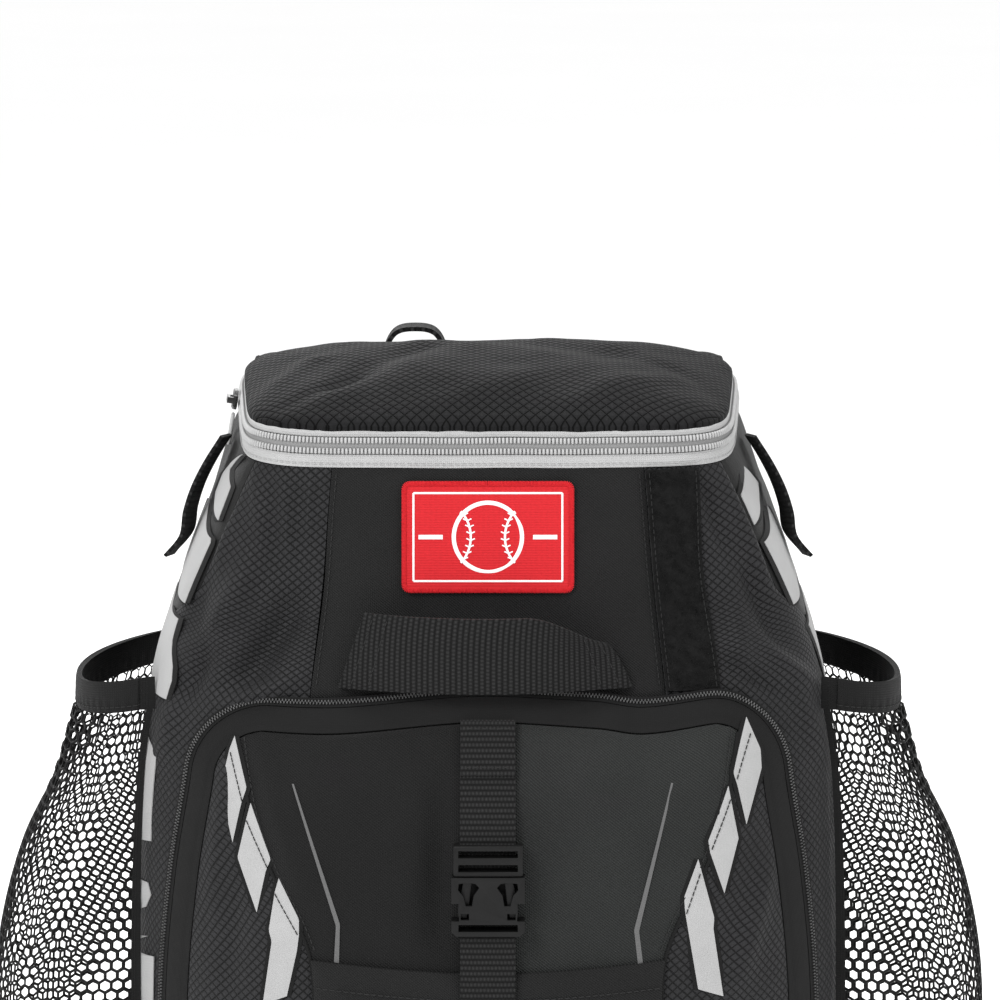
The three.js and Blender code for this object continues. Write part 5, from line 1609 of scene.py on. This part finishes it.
def on_net(share, z, out):
    share, z, out = matched(share, z, out)
    inside = np.clip(share, 0.03, 0.97)
    low = np.maximum(z, NET_BOTTOM + 2)
    normal = normal_of(net_surface, inside, low, 0.01, 0.5)
    edge = (share < 0.03) | (share > 0.97) | (z < NET_BOTTOM + 2)
    normal = np.where(edge[..., None], np.array([1.0, 0, 0]), normal)
    return net_surface(share, z) + out[..., None] * normal


def even_map(place, low, high, samples=800):
    """A map from shares of a curve's length to its parameter."""
    t = np.linspace(low, high, samples)
    run = run_along(place(t))
    return (lambda share: np.interp(share * run[-1], run, t)), run[-1]


# Corners of a cell from its middle, in half columns and sixths of a row
HEXAGON = np.array([(0, 4), (1, 2), (1, -2), (0, -4), (-1, -2), (-1, 2)])


def add_net(side, flip):
    to_share, wide = even_map(lambda s: net_surface(s, np.full_like(s, 200.0)), 0.002, 0.998)
    to_z, high = even_map(lambda z: net_surface(np.full_like(z, 0.5), z), NET_BOTTOM, NET_TOP)
    columns = round(wide / NET_CELL)
    rows = round(high / (NET_CELL * 0.84))
    cells = [(2 * i + 1 + j % 2, 6 * j + 4) for j in range(rows) for i in range(columns - j % 2)]
    centres = np.array(cells)
    corners = centres[:, None, :] + HEXAGON[None]
    flat, index = np.unique(corners.reshape(-1, 2), axis=0, return_inverse=True)
    index = index.reshape(-1, 6)
    hole = 1 - NET_STRAND / (NET_CELL * 0.9)
    holes = centres[:, None, :] + HEXAGON[None] * hole

    def place(grid, out):
        grid = grid.reshape(-1, 2)
        share = to_share(grid[:, 0] / (2 * columns))
        z = to_z(np.clip(grid[:, 1] / (6 * rows + 2), 0, 1))
        base = on_net(share, z, 0.0)
        top = smoothstep(z, NET_TOP - NET_GATHER, NET_TOP)
        pleat = 1.5 * np.sin(2 * math.pi * NET_PLEATS * share + 1.6 * ripple(base, 45, 101)) * top
        sway = 1.1 * ripple(base, 60, 102) * np.sin(math.pi * share) * (1 - top)
        points = on_net(share, z, out + (pleat + sway) * np.sin(math.pi * share) ** 0.5)
        return mirror(points) if flip else points

    front, back, ring = place(flat, NET_STRAND * 0.45), place(flat, -NET_STRAND * 0.45), place(holes, 0.0)
    points = np.concatenate([front, back, ring])
    count = len(flat)
    following = np.roll(index, -1, axis=1)
    rings = 2 * count + np.arange(len(cells) * 6).reshape(-1, 6)
    next_ring = np.roll(rings, -1, axis=1)
    near = np.stack([index, following, next_ring, rings], -1).reshape(-1, 4)
    far = np.stack([following + count, index + count, rings, next_ring], -1).reshape(-1, 4)
    quads = np.concatenate([near, far])
    if not flip:
        quads = quads[:, ::-1]
    add_piece(f"net_mesh_{side}", points, quads, M["net"], replaces=[f"net_{side}"], sharp=180)


def add_net_tape(name, place, steps, heights):
    """Binding sewn over the net's edge."""
    add_cloth(name, place, shares(steps), heights, M["binding"], lift=0.8, thick=1.6,
              dip=0.3)


def add_net_trim(side, flip):
    def flipped(place):
        return (lambda u, v, out: mirror(place(u, v, out))) if flip else place

    def rim(share, h, out):
        points = on_net(share, np.full_like(share, float(NET_TOP)), out)
        points[..., 2] += 0.3 + h
        return points

    def gathers(points, share, h):
        wave = np.sin(2 * math.pi * 27 * share + 2 * ripple(points, 40, 111))
        return 0.5 * wave * smoothstep(-h, -9, -1)

    add_cloth(f"binding_cloth_{side}", flipped(rim), shares(170), np.linspace(0, BINDING_HEIGHT, 14),
              M["binding"], gathers, 1.0, 2.6, dip=0.7, pucker=0.2,
              replaces=[f"net_binding_{side}"])

    def rim_route(height):
        def route(t, out):
            points = rim(np.clip(t, 0, 1) * 0.96 + 0.02, height, 1.0 + out)
            return mirror(points) if flip else points
        return route

    add_stitches(f"binding_stitches_{side}", [rim_route(2.5)], M["black_thread"])
    for name, low, high in (("front", 0.0, 0.008), ("back", 0.992, 1.0)):
        def seam(u, z, out, low=low, high=high):
            return on_net(lerp(low, high, u), z, out)
        add_net_tape(f"net_seam_{name}_{side}", flipped(seam), 5, np.linspace(NET_BOTTOM, NET_TOP, 120))
    foot = np.linspace(NET_BOTTOM, NET_BOTTOM + NET_FOOT, 6)
    add_net_tape(f"net_foot_{side}", flipped(on_net), 120, foot)


# Bat straps, shoulder straps and haul loop

def add_bat_straps():
    top = RIM_HEIGHT - BAT_STRAP_DROP
    steps = 4
    lie = SEAT + WEBBING / 2 + BAT_STRAP_TURN / 2

    def wall(y, z, out):
        level = np.array(z / RIM_HEIGHT)
        return on_body(angle_at_y(np.array(float(y)), level), level, out)

    reach = BAT_STRAP_WIDTH / 2
    slope = wall(reach, top, 0.0)[0] - wall(-reach, top, 0.0)[0]
    stations = []
    for k in range(steps + 1):
        seat = wall(0.001, top - BAT_STRAP_LENGTH * k / steps, lie)
        stations.append((seat[0] + BAT_STRAP_BOW * math.sin(math.pi * k / steps), 0, seat[2]))
    x, _, z = stations[-1]
    stations.append((x + 0.6 * BAT_STRAP_TAB, 0, z - 0.75 * BAT_STRAP_TAB))
    line = smooth_line(stations)
    across = (slope - BAT_STRAP_TURN, BAT_STRAP_WIDTH, 0)
    for side, flip in (("left", True), ("right", False)):
        place = ribbon(line, across, flip)
        add_webbing(f"bat_strap_cloth_{side}", place, shares(70), np.linspace(-reach, reach, 15),
                    WEBBING / 2, replaces=[f"bat_strap_{side}"])


def add_shoulder_straps():
    line = []
    for at, aside, out in PAD_LINE:
        x = lerp(PAD_SPREAD, PAD_END_X, aside)
        z = lerp(PAD_TOP - PAD_THICK / 2, PAD_END, at)
        wall = back_wall(np.array(x - PAD_WIDTH / 2), np.array(min(z, RIM_HEIGHT)))
        line.append((x, float(wall) + SEAT + PAD_THICK / 2 + PAD_STAND * out, z))
    line = smooth_line(line)
    t, s = np.meshgrid(shares(150), np.linspace(-1, 1, 25))
    half = PAD_WIDTH / 2 * lerp(1, 0.78, np.clip((t - 0.55) / 0.45, 0, 1))
    ends = smoothstep(np.minimum(t, 1 - t), -0.02, 0.025)
    plump = PAD_THICK / 2 * (1 - 0.72 * np.abs(s) ** 5) * ends
    end = line[-1]
    anchor_x = PAD_END_X + 5
    anchor_y = float(back_wall(np.array(anchor_x), np.array(float(ANCHOR_HEIGHT)))) + SEAT + WEBBING / 2
    anchor = np.array([anchor_x, anchor_y, ANCHOR_HEIGHT])
    ahead = unit(anchor - end)
    start = end + ahead * (LADDER_LONG + LADDER_GAP)
    middle = lerp(start, anchor, 0.55)
    wall = float(back_wall(np.array(middle[0]), np.array(middle[2])))
    middle[1] = max(middle[1], wall + SEAT + WEBBING)
    webbing_line = smooth_line([start, middle, anchor])
    reach = WEBBING_WIDTH / 2
    for side, flip in (("left", True), ("right", False)):
        place = ribbon(line, (1, 0, 0.15), flip)
        middle_grid = place(t, s * half, np.zeros_like(t))
        soft = 0.35 * ripple(middle_grid, 32, 121)
        outer, inner = place(t, s * half, plump + soft), place(t, s * half, soft - plump)
        points, quads = sheet_mesh(outer, inner)
        run, up = arc_lengths(middle_grid)
        uv = np.stack([run, up], -1).reshape(-1, 2)
        pad = add_piece(f"pad_{side}", points, quads, M["air_mesh"],
                        np.concatenate([uv, uv]), [f"shoulder_pad_{side}"])
        for name, row in (("inner", 0), ("outer", -1)):
            add_tube(f"pad_binding_{name}_{side}", middle_grid[row, 2:-2], 1.9, M["binding"])
        place = ribbon(webbing_line, (1, 0.1, 0), flip)
        add_webbing(f"strap_webbing_cloth_{side}", place, shares(110),
                    np.linspace(-reach, reach, 13), WEBBING / 2, replaces=[f"strap_webbing_{side}"])
        add_softened(f"ladder_lock_{side}", f"ladder_{side}", M["plastic"], 0.5)


HAUL_LINE = [(-1, 0), (-0.94, 0.55), (-0.62, 0.92), (0, 1), (0.62, 0.92), (0.94, 0.55), (1, 0)]


def add_haul_loop():
    wall = float(back_wall(np.array(float(HAUL_MIDDLE)), np.array(float(RIM_HEIGHT))))
    y = wall + SEAT + HAUL_WIDE / 2
    rise = HAUL_TOP - HAUL_LOW - HAUL_THICK / 2
    line = smooth_line([(HAUL_MIDDLE + x * HAUL_HALF, y, HAUL_LOW + z * rise) for x, z in HAUL_LINE])
    widths = np.linspace(-HAUL_WIDE / 2, HAUL_WIDE / 2, 11)
    add_webbing("haul_webbing", ribbon(line, (0, 1, 0)), shares(90), widths, HAUL_THICK / 2,
                HAUL_THICK, ["haul_loop"])


# Camera, floor and light

def add_stage():
    camera = bpy.data.cameras.new("camera")
    camera.lens = LENS
    camera.sensor_width = SENSOR
    camera.clip_end = 100
    view = bpy.data.objects.new("camera", camera)
    view.location = Vector(CAMERA) * MM
    view.rotation_euler = (Vector(TARGET) - Vector(CAMERA)).to_track_quat("-Z", "Y").to_euler()
    bpy.context.scene.collection.objects.link(view)
    bpy.context.scene.camera = view

    size = 40.0
    floor_mesh = bpy.data.meshes.new("floor")
    corners = [(-size, -size, 0), (size, -size, 0), (size, size, 0), (-size, size, 0)]
    floor_mesh.from_pydata(corners, [], [(0, 1, 2, 3)])
    floor = bpy.data.objects.new("floor", floor_mesh)
    bpy.context.scene.collection.objects.link(floor)
    paper = Recipe("floor_paper", roughness=0.95, specular=0.1)
    shade = paper.blend(paper.noise(900), grey(0.955), grey(0.985))
    floor_mesh.materials.append(paper.finish(shade))

    world = bpy.data.worlds.new("studio")
    world.use_nodes = True
    world.node_tree.nodes["Background"].inputs[0].default_value = (1, 1, 1, 1)
    world.node_tree.nodes["Background"].inputs[1].default_value = 1.02
    bpy.context.scene.world = world
    lamps = [
        ("key", (-1.3, -1.9, 1.9), 1.2, 46),
        ("fill", (1.9, -1.6, 1.1), 1.6, 12),
        ("top", (0.1, 0.3, 2.4), 1.4, 34),
        ("back", (-0.6, 2.2, 1.4), 1.8, 16),
    ]
    for name, place, wide, watts in lamps:
        light = bpy.data.lights.new(name, "AREA")
        light.shape = "DISK"
        light.size = wide
        light.energy = watts
        lamp = bpy.data.objects.new(name, light)
        lamp.location = place
        lamp.rotation_euler = (Vector((0, 0, 0.3)) - Vector(place)).to_track_quat("-Z", "Y").to_euler()
        bpy.context.scene.collection.objects.link(lamp)
    bpy.context.scene.view_settings.view_transform = "Standard"


add_stage()
add_body()
add_back()
add_lid()
add_lid_zipper()
add_pocket()
add_light_pieces()
add_flap_strap()
add_handle()
add_badge()
add_loop_strip()
for side, flip in (("left", True), ("right", False)):
    add_net(side, flip)
    add_net_trim(side, flip)
add_bat_straps()
add_shoulder_straps()
add_haul_loop()
add_softened("base_panel", "base_cloth", M["base"], 0.5)
